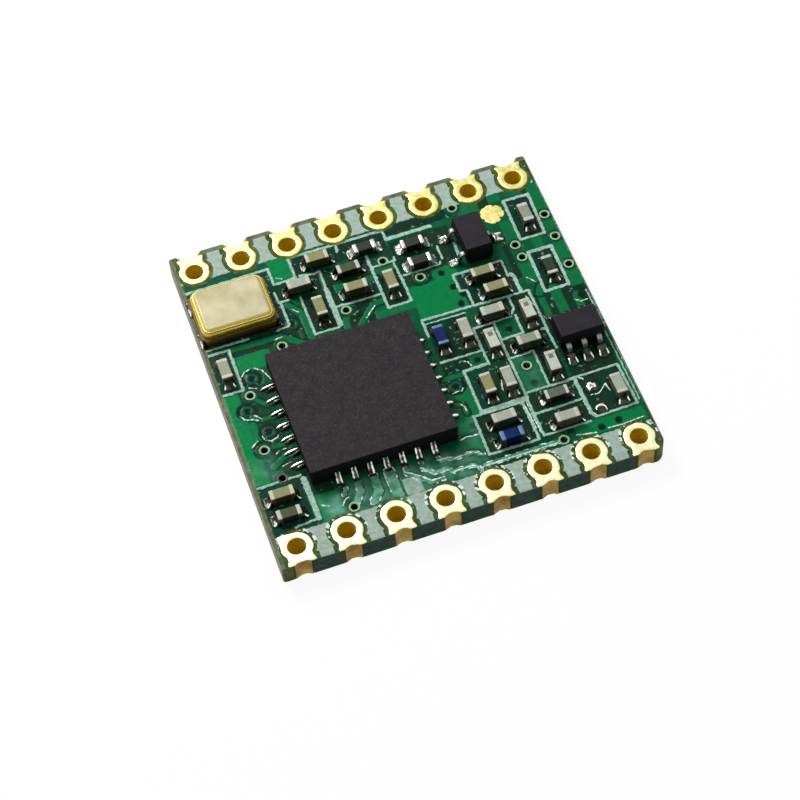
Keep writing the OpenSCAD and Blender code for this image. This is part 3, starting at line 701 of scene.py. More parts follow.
def pad_distance(px, py, grow=0.0):
    ring = np.hypot(px, py) - RING_R - grow
    neck = rect_distance(px, py, -NECK_HALF - grow, NECK_FROM, NECK_HALF + grow, PAD_END)
    ears = rect_distance(px, py, -EAR_HALF - grow, EAR_FROM - grow, EAR_HALF + grow, PAD_END)
    return np.minimum(np.minimum(ring, neck), ears)


def cut_distance(x, y):
    """Negative where the board's face is, positive outside it or in a hole."""
    px, py = pad_frame(x, y)
    edge = rect_distance(x, y, -HALF_W + CORNER_AT, NEAR_Y + CORNER_AT, HALF_W - CORNER_AT, FAR_Y - CORNER_AT)
    edge = np.maximum(edge - CORNER_R, SCALLOP_CUT - np.hypot(px, py - SCALLOP_AT))
    edge = np.maximum(edge, HOLE_CUT - np.hypot(px, py))
    for vx, vy in OPEN_VIAS:
        edge = np.maximum(edge, VIA_CUT - np.hypot(x - vx, y - vy))
    filed = np.hypot(np.maximum(x - HALF_W + FILED_R, 0), np.maximum(NEAR_Y + FILED_R - y, 0)) - FILED_CUT
    return np.maximum(edge, filed)


def fields(x, y):
    """Height and paint of the board's face at each point."""
    wx = x + 0.012 * ripple(x, y, 3) + 0.008 * ripple(y, x, 7)
    wy = y + 0.012 * ripple(y, x, 3.3) + 0.008 * ripple(x, y, 6)
    tone = np.full(x.shape, 0.45)
    # The zones' dark tones round the parts are partly painted shade
    for value, *rect in ZONES:
        c = cover(rect_distance(wx, wy, *rect), 0.1)
        tone = tone * (1 - c) + value * c
    ground = np.stack([tone, cover(0.4 - tone, 0.25)])

    def lay(c, tone, copper):
        nonlocal ground
        ground = ground * (1 - c) + np.reshape([tone, copper], (2, 1, 1)) * c

    def apart(x0, y0):
        return np.hypot(wx - x0, wy - y0)

    for via in MOATED:
        lay(cover(apart(*via) - MOAT_R, 0.08), 0.06, 0)
        lay(cover(apart(*via) - ISLAND_R, 0.08), 0.5, 1)
    glint, pale = np.zeros(x.shape), np.zeros(x.shape)
    for width, *line in TRACES:
        d = seg_distance(wx, wy, line) - width / 2
        lay(cover(d - 0.1, 0.06), 0.1, 0)
        c = cover(d, 0.07)
        lay(c, 0.72, 1)
        if line[1] < PALE_FROM:
            # Painted highlights along both edges of the pale traces
            edge = np.exp(-((d - 0.01) / 0.028) ** 2) * np.clip(0.45 + 0.7 * ripple(x, y, 4), 0, 1)
            glint = np.maximum(glint, edge)
            pale = np.maximum(pale, c * np.clip(0.75 + 0.4 * ripple(x, y, 2.5), 0, 1))
    px, py = pad_frame(wx, wy)
    halo = cover(pad_distance(px, py, HALO), 0.06)
    lay(halo * cover(HALO_FROM - np.abs(y), 0.1), 0.1, 0)
    for via in OPEN_VIAS:
        lay(cover(apart(*via) - OPEN_VIA_R, 0.08), 0.35, 0.8)
    for via in COVERED_VIAS:
        lay(cover(apart(*via) - COVERED_VIA_R, 0.1), -0.1, 0)
    tone, copper = ground
    silk = np.maximum(0.55 * pale, drawn(wx, wy, SILK, 0.07))
    glint = np.maximum(glint, 0.8 * drawn(wx, wy, GLINTS, 0.05))
    # Grey-white fields printed between the pads, and a rough band of ink by the near row
    lo = np.where(y > 0, FAR_FIELD[0], NEAR_FIELD[0]) + 0.02 * ripple(x, y, 6)
    hi = np.where(y > 0, FAR_FIELD[1], NEAR_FIELD[1])
    field = cover(np.maximum(lo - np.abs(y), np.abs(y) - hi), 0.06)
    from_scallop = np.hypot(px, py - SCALLOP_AT)
    field = field * cover(-pad_distance(px, py, 0.16), 0.06) * cover(SCALLOP_R + 0.2 - from_scallop, 0.05)
    field = field * cover(np.abs(x) - FIELD_HALF_W, 0.05)
    patch = cover(rect_distance(wx, wy, *INK_PATCH), 0.1) * 0.8
    fill = np.maximum(field, patch)
    # A broken ring of painted glint specks round the near pads
    speck = cover(np.abs(np.hypot(px, py) - SPECK_R) - 0.07, 0.05) * cover(y + 6.3, 0.3) * (py < 0.1)
    speck = speck * np.clip(0.5 + 1.1 * ripple(x, y, 5) + 0.6 * ripple(y, x, 11), 0, 1)
    glint = np.maximum(glint, speck * 0.75)
    warm = halo * np.where(y > 0, 0.9, 0.75) * cover(6.0 - np.abs(y), 0.2)
    warm = np.maximum(warm, cover(y + 6.9, 0.5) * cover(7.4 - np.abs(x), 0.3) * 0.7)
    haze = np.zeros(x.shape)
    for value, *rect in HAZE:
        haze = np.maximum(haze, value * cover(rect_distance(wx, wy, *rect), 0.5))
    haze = np.maximum(haze * np.clip(0.75 + 0.5 * ripple(x, y, 2), 0, 1), 0.9 * pale)
    edge_line = cover(np.abs(y + EDGE_LINE_Y) - 0.03, 0.06) * field
    bare = np.maximum(cover(BARE_FAR - y, 0.05), cover(BARE_RIGHT - x, 0.03) * 0.8)
    bare = np.maximum(bare, cover(x + BARE_LEFT + 0.02 * ripple(x, y, 2), 0.08))
    flank = cover(from_scallop - 0.68, 0.05) * (px > 0.25)
    bare = np.maximum(bare, flank * cover(7.3 - y, 0.1))
    printed = np.maximum(np.maximum(silk, fill), glint)
    height = MASK_T + COPPER_T * copper + INK_T * printed + EDGE_LINE_T * edge_line
    height = height * (1 - bare) + BARE_T * bare
    for vx, vy in COVERED_VIAS:
        height = height - DIMPLE * cover(np.hypot(x - vx, y - vy) - 0.08, 0.1)
    paint = {"tone": tone, "silk": silk, "fill": fill, "bare": bare, "glint": glint, "warm": warm,
             "haze": haze}
    return np.maximum(height, 0.0015), paint


SNAP = 0.72             # share of a step within which a point moves onto the outline


def board_face(name, x0, y0, x1, y1, step):
    """A part of the face as a fine grid, whose rim is moved onto the outline."""
    nx, ny = int(round((x1 - x0) / step)) + 1, int(round((y1 - y0) / step)) + 1
    x, y = np.meshgrid(np.linspace(x0, x1, nx), np.linspace(y0, y1, ny))
    s = cut_distance(x, y)
    eps = 0.004
    gx = (cut_distance(x + eps, y) - cut_distance(x - eps, y)) / (2 * eps)
    gy = (cut_distance(x, y + eps) - cut_distance(x, y - eps)) / (2 * eps)
    size = np.maximum(np.hypot(gx, gy), 0.2)
    snap = np.abs(s) < SNAP * step
    x = np.where(snap, x - s * gx / size, x)
    y = np.where(snap, y - s * gy / size, y)
    keep = s < SNAP * step
    height, paint = fields(x, y)
    height = np.where(snap, 0.001, height)
    index = -np.ones(x.shape, dtype=int)
    full = keep[:-1, :-1] & keep[1:, :-1] & keep[:-1, 1:] & keep[1:, 1:]
    used = np.zeros(x.shape, dtype=bool)
    for a in (slice(0, -1), slice(1, None)):
        for b in (slice(0, -1), slice(1, None)):
            used[a, b] |= full
    index[used] = np.arange(used.sum())
    corners = (index[:-1, :-1], index[:-1, 1:], index[1:, 1:], index[1:, :-1])
    quads = np.stack([corner[full] for corner in corners], 1)
    co = np.stack([x[used], y[used] + GRID_Y, DECK + height[used]], 1) * MM
    mesh = bpy.data.meshes.new(name)
    mesh.from_pydata(co.tolist(), [], quads.tolist())
    mesh.polygons.foreach_set("use_smooth", [True] * len(mesh.polygons))
    mesh.materials.append(M["mask"])
    for key, values in paint.items():
        layer = mesh.attributes.new(key, "FLOAT", "POINT")
        layer.data.foreach_set("value", values[used].astype(np.float32))
    obj = link(name, mesh)
    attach(obj, "root")


STEP = 0.035  # the grid's step in millimetres
REACH_X, REACH_NEAR, REACH_FAR = 7.875, -7.84, 8.05  # the grid's ends
for name, x0, y0, x1, y1 in (
        ("face_near_left", -REACH_X, REACH_NEAR, 0, 0), ("face_near_right", 0, REACH_NEAR, REACH_X, 0),
        ("face_far_left", -REACH_X, 0, 0, REACH_FAR), ("face_far_right", 0, 0, REACH_X, REACH_FAR)):
    board_face(name, x0, y0, x1, y1, STEP)
repaint("circuit_board", "laminate")


# Edge pads

def pad_outline(n=96):
    """Radius of the pad's outline for each angle, with the nick below each ear."""
    out = []
    for k in range(n):
        a = 2 * math.pi * k / n
        c, s = math.cos(a), math.sin(a)
        ray = np.linspace(0.4, 1.1, 281)
        px, py = ray * c, ray * s
        inside = (pad_distance(px, py) <= 0) & (py <= 0.79) & (np.hypot(px, py - SCALLOP_AT) >= SCALLOP_R)
        gaps = np.nonzero(~inside)[0]
        first = ray[gaps[0] - 1] if len(gaps) else RING_R
        last = ray[np.nonzero(inside)[0][-1]]
        steep = abs(math.degrees(math.atan2(s, abs(c))) - 90) < 40
        out.append(last if steep and s > 0 else first)
    return out


OUTLINE = pad_outline()
# From the barrel up over the rim, down the outline and back underneath: (on outline, offset, height)
PAD_PROFILE = [
    (0, -0.1, 0.012), (0, -0.012, FACE - 0.014), (0, -0.004, FACE - 0.004), (0, 0.012, FACE),
    (0, 0.05, FACE + 0.004), (1, -0.06, FACE + 0.004), (1, -0.02, FACE), (1, -0.004, FACE - 0.01),
    (1, 0, DECK), (0, 0.03, DECK), (0, 0.0, DECK - 0.02), (0, 0.0, PLATE + 0.02), (0, 0.03, PLATE),
    (1, 0, PLATE), (1, -0.004, 0.01), (1, -0.02, 0.0), (0, -0.08, 0.0),
]
LINING_STEPS = 20
LINING_WALL = 0.048


def edge_pad(i, side):
    """The dressed pad i of a row: its two rings, the tube of its hole and the lining of its scallop."""
    row = "far" if side > 0 else "near"
    name = "%s_pad_%d" % (row, i + 1)
    p = Piece(name + "_dressed")
    n = len(OUTLINE)
    # Some outlines have one small bump, and the near row's first pad has a square corner
    bump = rng.choice([0, 0, 1])
    at_angle = rng.uniform(160, 260)
    rings = []
    for on, offset, z in PAD_PROFILE:
        ring = []
        for k, r in enumerate(OUTLINE):
            a = 2 * math.pi * k / n
            base = r if on else HOLE_R
            if on and side < 0 and i == 0 and 180 <= math.degrees(a) <= 270:
                base = min(RING_R / max(abs(math.cos(a)), abs(math.sin(a)), 0.1), RING_R * 1.38)
            if on:
                base += 0.008 * math.sin(5 * a + i) + 0.006 * math.sin(9 * a + 2 * i)
                base += bump * 0.05 * math.exp(-((math.degrees(a) - at_angle) / 7) ** 2)
            s = base + offset
            ring.append((PAD_X[i] + s * math.cos(a), side * (ROW + s * math.sin(a)), z))
        rings.append(ring)
    p.loft(rings, "gold", closed=True)
    p.tint(0, n, "barrel")  # the first band lies in the hole
    margin = FAR_MARGIN if side > 0 else NEAR_MARGIN
    lo = math.asin((margin - SCALLOP_AT) / SCALLOP_R)
    half = math.pi / 2 + lo
    shell = []
    for z in (0.004, 0.03, 0.3, 0.7, DECK - 0.03, DECK - 0.02 if side > 0 else FACE - 0.006):
        outer, inner = [], []
        for k in range(LINING_STEPS + 1):
            a = -math.pi / 2 + half * (2 * k / LINING_STEPS - 1)
            rr = SCALLOP_R + 0.006 * math.sin(z * 9 + k)
            inner.append((PAD_X[i] + rr * math.cos(a), side * (ROW + SCALLOP_AT + rr * math.sin(a)), z))
            rr = SCALLOP_R + LINING_WALL
            yy = min(SCALLOP_AT + rr * math.sin(a), margin)
            outer.append((PAD_X[i] + rr * math.cos(a), side * (ROW + yy), z))
        shell.append(inner + outer[::-1])
    p.loft(shell, "lining")
    p.make("gold", name, smooth=50)


for i in range(8):
    edge_pad(i, 1)
    edge_pad(i, -1)

# Vias and the test pad
p = Piece("via_rings")
VIA_PROFILE = [
    (0.138, 0.0), (0.138, FACE - 0.012), (0.145, FACE), (0.168, FACE + 0.004), (0.185, FACE + 0.006),
    (0.2, FACE + 0.008), (0.215, FACE + 0.004), (0.222, DECK), (0.16, DECK - 0.01), (0.16, PLATE + 0.01),
    (0.22, PLATE), (0.22, 0.0),
]
VIA_SIDES = 28
TENTED_Y = -3.9         # the one open via that is covered by mask
for v in OPEN_VIAS:
    start = len(p.faces)
    tented = v[1] == TENTED_Y
    revolve(p, VIA_PROFILE, v, "via_dark" if tented else "via", VIA_SIDES, wobble=0.02)
    # The rim's crest gets a painted highlight; on the tented via it stays mask dark
    p.tint(start + 4 * VIA_SIDES, start + 6 * VIA_SIDES, "via_dark" if tented else "via_rim_highlight")
    # Painted shade: a near black lining and plug inside each via's hole
    revolve(p, [(0.137, 0.05), (0.137, FACE - 0.03), (0.135, FACE - 0.03), (0.135, 0.05)], v, "via_hole_shade", 20)
    revolve(p, [(0.134, 0.04), (0.134, 0.06)], v, "via_hole_shade", 20, closed=False)
p.make("gold", "via_plating")

# Bites in the test pad's outline: (angle, depth, width)
BITES = [(64, 0.09, 7), (9, 0.05, 5), (-49, 0.13, 9), (-84, 0.05, 5), (-156, 0.07, 6), (162, 0.04, 5),
         (114, 0.045, 6)]
p = Piece("test_pad_dressed")
lo, hi = span("test_pad")
cx, cy, r0 = (lo.x + hi.x) / 2, (lo.y + hi.y) / 2, (hi.x - lo.x) / 2
rings = []
for inset, z in ((0.0, DECK), (0.0, FACE - 0.012), (0.012, FACE), (0.05, FACE + 0.002)):
    ring = []
    for k in range(120):
        a = 3 * k
        bite = sum(deep * math.exp(-(((a - at + 180) % 360 - 180) / wide) ** 2) for at, deep, wide in BITES)
        r = r0 - bite - inset + 0.008 * math.sin(math.radians(3 * a + 60)) - 0.01
        ring.append((cx + r * math.cos(math.radians(a)), cy + r * math.sin(math.radians(a)), z))
    rings.append(ring)
p.loft(rings, "gold").make("gold", "test_pad")


# Solder, all of it in one piece

solder = Piece("solder_dressed")
FILM = FACE + 0.012     # top of the thin solder where a joint runs out


def joint(x, y, turn, reach, rise, w, rib=0.03, under=0.12, dip=0.3, gleam=0.0, line=0.13, foot=0.0, spot=0.0,
          full=False, n=10, m=20):
    """A wet fillet against the plane through (x, y) that faces the turn's direction.

    It is raised along its sides, and its shine, a painted highlight, follows those two ridges; gleam paints
    highlight on its upper part too, and spot a patch of painted highlight."""
    rise *= 1 + rng.uniform(-0.08, 0.06)
    reach *= 1 + rng.uniform(-0.06, 0.04)
    lean = rng.uniform(-0.12, 0.12)
    # The side that faces the near row catches more light than the far one: it gets a higher ridge and a
    # brighter painted highlight
    near = -math.cos(turn)
    strength = {s: rng.uniform(0.75, 1.2) * (1 + 0.35 * s * near) * (0.42 if full else 1) for s in (-1, 1)}
    start = rng.uniform(0.0, 0.12)
    rings, shine = [], []
    for j in range(m + 1):
        v = 2 * j / m - 1
        s = -1 if v < 0 else 1
        side = max(0.0, 1 - abs(v) ** 5) ** 0.6
        out = reach * (1 - 0.25 * abs(v) ** 4)
        ring = [(-under, v * w / 2, FACE - 0.02), (out, v * w / 2, FACE - 0.02)]
        lit = [0.0, 0.0]
        for k in range(n + 1):
            t = k / n
            crest = 0.55 if full else 0.88 - 0.35 * t
            reached = min(1, max(0, (t - start) * 1.25 + 0.08))
            along = 1.0 if full else max(0.0, math.sin(math.pi * reached)) ** 0.7
            on = math.exp(-((abs(v) - crest) / line) ** 2)
            up = rise * t ** 1.9 * (1 + lean * v) * (1 - dip * (1 - v * v) * (1 - t))
            ridge = rib * strength[s] * along * on
            ring.append((out * (1 - t), v * w / 2, FILM + side * (up + ridge)))
            bright = spot * math.exp(-((t - 0.4) / 0.3) ** 2 - ((v - 0.3) / 0.45) ** 2)
            upper = gleam * max(0, min(1, 2.2 * t - 0.3 + foot))
            lit.append(min(1.0, 1.1 * strength[s] * along * on) + upper + bright)
        ring.append((-0.03, v * w / 2, FILM + side * rise * 0.96))
        ring.append((-under, v * w / 2, FILM))
        rings.append(ring)
        shine += lit + [gleam, 0.0]
    solder.loft(rings, "solder", placed(x, y, turn), shine=shine)


def mound(x, y, turn, reach, w, h, bend=0.0, wide=0.5, lum=1.0, n=10, m=14):
    """A rounded ridge of solder that runs outwards and may bend.

    Its shine, a painted highlight, lies on the side that faces the far row."""
    rings, shine = [], []
    crest = math.pi * (0.5 + 0.12 * (1 if math.cos(turn) < 0 else -1))
    for k in range(n + 1):
        t = k / n
        end = max(0.0, 1 - t ** 6) ** 0.5
        across = w / 2 * (0.72 + 0.28 * math.sin(math.pi * t)) * max(end, 0.25)
        up = h * (1 - 0.45 * t) * max(end, 0.1)
        shift = bend * t * t
        ring, lit = [(t * reach, shift + across, FACE - 0.02)], [0.0]
        for j in range(m + 1):
            a = math.pi * j / m
            ring.append((t * reach, shift + across * math.cos(a), FACE + up * math.sin(a)))
            lit.append(lum * math.exp(-((a - crest) / wide) ** 2) * min(1, 5 * t + 0.3))
        ring.append((t * reach, shift - across, FACE - 0.02))
        rings.append(ring)
        shine += lit + [0.0]
    solder.loft(rings, "solder", placed(x, y, turn), shine=shine)


def land(x, y, turn, x0, x1, w):
    """A tinned land that runs from x0 to x1 along the turn's direction."""
    solder.block((x0, -w / 2, DECK), (x1, w / 2, FACE + 0.006), 0.012, "solder", placed(x, y, turn), 1)


# Ceramic of each capacitor in the order of their numbers, and where some carry a small square mark
CAP_LOOKS = [
    "tan", "pale", "tan", "tan", "tan", "grey", "grey_tan", "pale", "tan", "tan", "pale", "white", "white",
    "grey", "white", "tan", "pale", "pale", "pale", "pale", "tan",
]
MARKED = {12: 0.18, 13: 0.18, 15: 0.2}


def part_frame(node):
    """Centre, turn, half length, half width and height of a chip part."""
    lo, hi = span(node)
    size = hi - lo
    turned = size.y > size.x
    centre = (lo + hi) / 2
    half_l, half_w = max(size.x, size.y) / 2, min(size.x, size.y) / 2
    return centre, (math.pi / 2 if turned else 0), half_l, half_w, lo.z, hi.z


def chip_part(node, slot, body, cap, top=None, mark=None, sail=False):
    """A chip part with its metal ends and fillets; sail raises the fillets up to its top and paints a
    highlight on them.
    """
    c, turn, half_l, half_w, z0, z1 = part_frame(node)
    half_l, half_w = half_l - 0.015, half_w - 0.022
    p = Piece(node + "_dressed")
    move = placed(c.x, c.y, turn + math.radians(rng.uniform(-1, 1)))
    cap_l = 0.18 + rng.uniform(-0.02, 0.02)
    slim = 0.012
    p.block((-half_l + 0.1, -half_w + slim, z0 + slim), (half_l - 0.1, half_w - slim, z1 - slim),
            0.035, body, move, 3)
    if top:
        p.block((-half_l + cap_l - 0.04, -half_w + slim + 0.01, z1 - slim - 0.03),
                (half_l - cap_l + 0.04, half_w - slim - 0.01, z1 - 0.004), 0.02, top, move)
    if mark:
        p.block((mark - 0.1, -0.1, z1 - slim - 0.02), (mark + 0.1, 0.1, z1 - slim + 0.003),
                0.002, "mark", move, 1)
    for s in (-1, 1):
        x0, x1 = sorted((s * half_l, s * (half_l - cap_l)))
        p.block((x0, -half_w, z0), (x1, half_w, z1), 0.055, cap, move, 4)
    p.make(slot, node)
    rise = (z1 - z0) * (0.72 if z1 - z0 > 0.45 else 0.8)
    for s in (0, math.pi):
        ex = c.x + math.cos(turn + s) * (half_l - 0.01)
        ey = c.y + math.sin(turn + s) * (half_l - 0.01)
        land(ex, ey, turn + s, -0.2, 0.27, half_w * 2 + 0.06)
        if sail:
            joint(ex, ey, turn + s, 0.27, rise * 1.1, half_w * 2 + 0.07, dip=0.0, gleam=0.62, foot=0.5)
        else:
            # Fillets that face left get a patch of painted highlight
            leftward = math.cos(turn + s) < -0.5
            spot = rng.uniform(0.5, 1.0) if leftward else 0.0
            joint(ex, ey, turn + s, 0.26, rise, half_w * 2 + 0.07, spot=spot)


for k, look in enumerate(CAP_LOOKS, 1):
    cap = "tin" if look in ("tan", "grey_tan") else "pale_end"
    chip_part("capacitor_%d" % k, "capacitor_ceramic", look, cap, mark=MARKED.get(k))
RESISTOR_TOPS = ["glass", "smoke", "glass", "glass", "murk", "brown", "smoke"]
for k, top in enumerate(RESISTOR_TOPS, 1):
    sail = k in (1, 3, 4)
    cap = "bright_tin" if sail else "pale_end"
    chip_part("resistor_%d" % k, "resistor_body", "alumina", cap, top=top, sail=sail)
for k in (1, 2):
    chip_part("inductor_%d" % k, "inductor_body", "blue", "pale_blue")

# Transceiver chip
lo, hi = span("transceiver_body")
tc = (lo + hi) / 2
tw = hi.x - lo.x
p = Piece("transceiver_dressed")
move = placed(tc.x, tc.y)
levels = [(0.03, lo.z), (0.0, lo.z + 0.03), (0.0, hi.z - 0.03), (0.008, hi.z - 0.01), (0.03, hi.z),
          (0.05, hi.z)]
p.loft([rounded_ring(tw, tw, 0.05, z, i, 3) for i, z in levels], "chip", move)
p.make("chip_plastic", "transceiver_body")
p = Piece("transceiver_contacts")
for side in range(4):
    turn = side * math.pi / 2
    move = placed(tc.x, tc.y, turn)
    for k in range(7):
        y = (k - 3) * LEAD_PITCH
        p.block((tw / 2 - 0.3, y - 0.12, FACE), (tw / 2 + 0.006, y + 0.12, FACE + 0.2), 0.02, "lead", move, 2)
        ex = tc.x + math.cos(turn) * (tw / 2 + 0.004) - math.sin(turn) * y
        ey = tc.y + math.sin(turn) * (tw / 2 + 0.004) + math.cos(turn) * y
        land(ex, ey, turn, -0.2, 0.44, 0.28)
        # The mounds and fillets carry painted highlights through their shine
        if side in (0, 2):
            if side == 2:
                for off, far, wide, lum in ((0.07, 0.58, 0.85, 1.0), (-0.07, 0.36, 0.45, 0.42)):
                    mound(ex, ey + off, turn, far + rng.uniform(-0.06, 0.04), 0.17, 0.13, bend=0.07,
                          wide=wide, lum=lum)
            else:
                mound(ex, ey, turn, 0.4 + rng.uniform(-0.05, 0.04), 0.26, 0.15, wide=0.8)
        else:
            joint(ex, ey, turn, 0.34, 0.34, 0.3, rib=0.05, dip=0.6, gleam=0.12, line=0.33, foot=0.6,
                  full=True)
p.make("tinned_lead", "transceiver_leads")

# Crystal
lo, hi = span("crystal_base")
cc = (lo + hi) / 2
cw, cl = hi.x - lo.x, hi.y - lo.y


def bands(p, node, r, levels):
    """One closed body from stacked outlines, with a material for each step and the last one's on top."""
    lo, hi = span(node)
    rings = [rounded_ring(hi.x - lo.x, hi.y - lo.y, r, z, inset, 8) for inset, z, _ in levels]
    p.loft(rings, levels[1][2], placed(cc.x, cc.y))
    n = len(rings[0])
    for k, (_, _, mat) in enumerate(levels[1:]):
        p.tint(k * n, (k + 1) * n, mat)
    p.tint(len(p.which) - 1, len(p.which), levels[-1][2])


lo, hi = span("crystal_ring")
p = Piece("crystal_rim_dressed")
bands(p, "crystal_ring", 0.36, [
    (0.02, lo.z, ""), (0.0, lo.z + 0.03, "side_gold"), (0.0, hi.z - 0.07, "side_gold"),
    (0.015, hi.z - 0.03, "gold_line"), (0.05, hi.z, "gold_line"), (0.3, hi.z + 0.001, "groove_shade")])
p.make("crystal_gold", "crystal_ring")
lo, hi = span("crystal_lid")
mid = lo.z + 0.05
p = Piece("crystal_lid_dressed")
bands(p, "crystal_lid", 0.3, [
    (0.012, lo.z - 0.005, ""), (0.0, lo.z + 0.012, "gold_line"), (0.004, mid - 0.012, "gold_line"),
    (0.02, mid, "gold_line"), (0.05, mid + 0.002, "gold_line"), (0.075, mid + 0.002, "groove_shade"),
    (0.115, hi.z - 0.006, "gold_line"), (0.13, hi.z, "lid"), (0.2, hi.z, "lid")])
p.make("crystal_gold", "crystal_lid")
repaint("crystal_base", "ceramic")
for turn in (0, math.pi):
    for s in (-1, 1):
        y = s * (cl / 2 - 0.4)
        ex, ey = cc.x + math.cos(turn) * cw / 2, cc.y + math.cos(turn) * y
        land(ex, ey, turn, -0.5, 0.1, 0.85)
        # Each fillet carries a patch of painted highlight
        joint(ex, ey, turn, 0.11, 0.26, 0.8, spot=0.9)

# Small chips, with leads bent along (out, up) from the body's side

WING = [
    (-0.03, LEAD_EXIT), (0.07, LEAD_EXIT), (0.13, 0.44), (0.17, 0.38), (0.215, 0.2), (0.25, 0.105),
    (0.3, 0.062), (0.36, 0.055), (0.46, 0.055),
]
# Section of a lead, in half widths and half thicknesses
LEAD_SECTION = [
    (-1, -0.8), (-0.85, -1), (0.85, -1), (1, -0.8), (1, 0.8), (0.85, 1), (-0.85, 1), (-1, 0.8),
]


def wing(p, move, w=0.21, t=0.1):
    """A gull-wing lead swept along the line of WING."""
    rings = []
    for k, (x, z) in enumerate(WING):
        a, b = WING[max(k - 1, 0)], WING[min(k + 1, len(WING) - 1)]
        d = Vector((b[0] - a[0], 0, b[1] - a[1])).normalized()
        nx, nz = -d.z, d.x
        ring = []
        for u, v in LEAD_SECTION:
            ring.append((x + nx * v * t / 2, u * w / 2, FACE + z + nz * v * t / 2))
        rings.append(ring)
    p.loft(rings, "lead", move)


def small_chip(name, leads, turned):
    lo, hi = span(name + "_body")
    c = (lo + hi) / 2
    l, w = max(hi.x - lo.x, hi.y - lo.y), min(hi.x - lo.x, hi.y - lo.y)
    quarter = math.pi / 2 if turned else 0
    move = placed(c.x, c.y, quarter)
    part = FACE + LEAD_EXIT
    levels = [(0.08, lo.z), (0.055, lo.z + 0.02), (0.0, part - 0.03), (0.0, part + 0.03), (0.05, hi.z - 0.03),
              (0.062, hi.z - 0.008), (0.09, hi.z), (0.11, hi.z)]
    p = Piece(name + "_body_dressed")
    p.loft([rounded_ring(l, w, 0.05, z, i, 3) for i, z in levels], "small_chip", move)
    p.make("chip_plastic", name + "_body")
    p = Piece(name + "_leads_dressed")
    for side, k in leads:
        turn = math.radians(side) + quarter
        move = placed(c.x, c.y, turn) @ Matrix.Translation((w / 2, k * LEAD_PITCH, 0))
        wing(p, move)
        toe = move @ Vector((0.34, 0, 0))
        reach = 0.34 if side == 90 else 0.46
        land(toe.x, toe.y, turn, -0.15, reach - 0.02, 0.36)
        # The upper chip's fillets get a painted highlight over their upper part
        upper_gleam = 0.45 if name == "upper_chip" else 0.0
        joint(toe.x, toe.y, turn, reach, 0.2, reach, rib=0.08, under=0.15, gleam=upper_gleam, line=0.19)
    p.make("tinned_lead", name + "_leads")


small_chip("upper_chip", [(90, -1), (90, 1), (270, 0)], True)
small_chip("edge_chip", [(s, k) for s in (90, 270) for k in (-1, 0, 1)], False)

# Bare tinned lands: a jagged crown of solder on one, an arch on the other; their shine paints a highlight
# over nearly all of both
CROWN = [
    (-0.205, 0.052), (-0.057, 0.22), (0.031, 0.235), (0.096, 0.099), (0.215, 0.143), (0.173, -0.13),
    (0.075, -0.078), (-0.028, -0.099), (-0.149, -0.215), (-0.175, -0.084),
]
ARCH = [
    (-0.225, -0.03), (-0.19, 0.06), (-0.1, 0.13), (0.0, 0.15), (0.09, 0.12), (0.17, 0.03), (0.19, -0.08),
    (0.18, -0.17),
]
BARE_X, CROWN_Y, ARCH_Y = 6.12, -4.15, -5.25
for y in (CROWN_Y, ARCH_Y):
    land(BARE_X, y, 0, -0.25, 0.25, 0.5)
CROWN_LEVELS = ((1, FACE), (0.95, FACE + 0.04), (0.7, FACE + 0.05), (0.35, FACE + 0.03))
rings = [[(BARE_X + x * s, CROWN_Y + y * s, z) for x, y in CROWN] for s, z in CROWN_LEVELS]
solder.loft(rings, "solder", shine=[1.0] * (3 * len(CROWN)) + [0.6] * len(CROWN))
HALF_TURN = [math.pi * t / 8 for t in range(9)]
rings = []
for k, (x, y) in enumerate(ARCH):
    a, b = ARCH[max(k - 1, 0)], ARCH[min(k + 1, len(ARCH) - 1)]
    along = Vector((b[0] - a[0], b[1] - a[1], 0)).normalized()
    r = 0.02 + 0.03 * math.sin(math.pi * (k + 0.4) / (len(ARCH) - 0.2))
    rings.append([(BARE_X + x - along.y * r * math.cos(t), ARCH_Y + y + along.x * r * math.cos(t),
                   FACE + r * math.sin(t)) for t in HALF_TURN])
solder.loft(rings, "solder", shine=[1.0] * (9 * len(ARCH)))
solder.make("solder", "solder_joints", smooth=75)

repaint("transceiver_heat_pad", "tin")

# Camera, as fitted to the photograph's pad holes
cam_data = bpy.data.cameras.new("camera")
cam_data.sensor_width = 36
cam_data.lens = 101.18
cam_data.shift_x = -0.0996
cam_data.shift_y = -0.0023
cam_data.clip_start = 0.005
cam_data.clip_end = 5
bpy.context.scene.camera = cam = link("camera", cam_data)
# Azimuth, elevation and roll, and the distance to the target in millimetres
AZ, EL, ROLL, FAR = math.radians(-18.5), math.radians(55.64), math.radians(-2.01), 88.8
target = Vector((1.81, -3.09 + GRID_Y, DECK))
back = Vector((math.sin(AZ) * math.cos(EL), -math.cos(AZ) * math.cos(EL), math.sin(EL)))
right = (-back).cross(Vector((0, 0, 1))).normalized()
up = right.cross(-back)
turned_right = right * math.cos(ROLL) + up * math.sin(ROLL)
turned_up = -right * math.sin(ROLL) + up * math.cos(ROLL)
pose = Matrix((turned_right, turned_up, back)).transposed().to_4x4()
cam.matrix_world = Matrix.Translation((target + back * FAR) * MM) @ pose

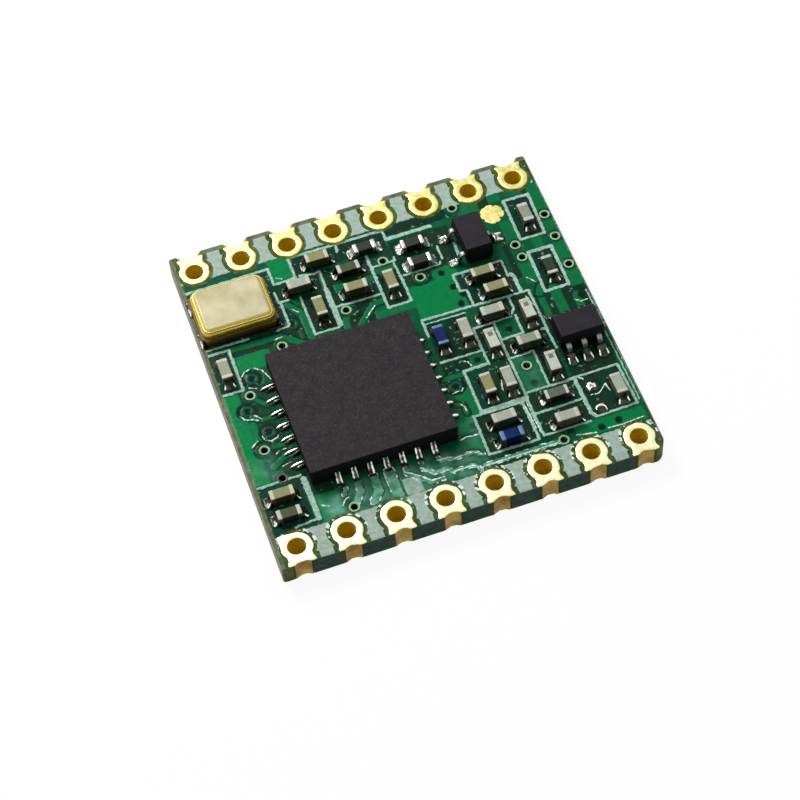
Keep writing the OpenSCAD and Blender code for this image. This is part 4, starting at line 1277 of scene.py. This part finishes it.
# Floor, light and background
FLOOR_HALF, FLOOR_Z = 0.6, -2e-5
floor_mesh = bpy.data.meshes.new("floor")
corners = [(x * FLOOR_HALF, y * FLOOR_HALF, FLOOR_Z) for x, y in ((-1, -1), (1, -1), (1, 1), (-1, 1))]
floor_mesh.from_pydata(corners, [], [(0, 1, 2, 3)])
floor = link("floor", floor_mesh)

p = Paint("floor_paper", Roughness=0.9)
p.colour(p.mix(p.noise(0.02), (0.93, 0.93, 0.93), (0.95, 0.95, 0.95)))
glow = p.new("ShaderNodeEmission")
p.put(glow, "Color", (1, 1, 1))
p.put(glow, "Strength", 1.0)
# The ground stays in shadow where the board stands on it
aside = p.math("MAXIMUM", p.math("ABSOLUTE", p.axis(p.coords, 0)), p.math("ABSOLUTE", p.axis(p.coords, 1)))
open_ground = p.spread(aside, 7.3 * MM, 7.7 * MM)
bright = p.math("MULTIPLY", p.math("MULTIPLY", p.seen_directly(), 0.92), open_ground)
p.put(p.tree.nodes["Material Output"], 0, p.blend(bright, p.bsdf.outputs[0], glow.outputs[0]))
floor_mesh.materials.append(p.mat)

lamp = bpy.data.lights.new("key", "AREA")
lamp.shape = "DISK"
lamp.size = 45 * MM
lamp.energy = 0.1
at = Vector((-28, 72, 80)) * MM
link("key", lamp).matrix_world = Matrix.Translation(at) @ (-at).to_track_quat("-Z", "Y").to_matrix().to_4x4()
bpy.context.scene.world = world = bpy.data.worlds.new("studio")
sky = Graph(world)
# The soft light comes from above and behind: its strength follows the height and depth of each direction
lean = sky.math("DOT_PRODUCT", sky.new("ShaderNodeTexCoord").outputs["Generated"], (-0.1, 0.55, 0.83),
                "ShaderNodeVectorMath", "Value")
soft = sky.tree.nodes["Background"]
sky.put(soft, "Color", (0.96, 0.98, 1))
sky.put(soft, "Strength", sky.spread(lean, 0.0, 0.95, 0.04, 0.9, "SMOOTHSTEP"))
white = sky.new("ShaderNodeBackground")
sky.put(white, "Color", (1, 1, 1))
sky.put(white, "Strength", 1.0)
sky.put(sky.tree.nodes["World Output"], 0, sky.blend(sky.seen_directly(), soft.outputs[0], white.outputs[0]))
bpy.context.scene.view_settings.view_transform = "Standard"
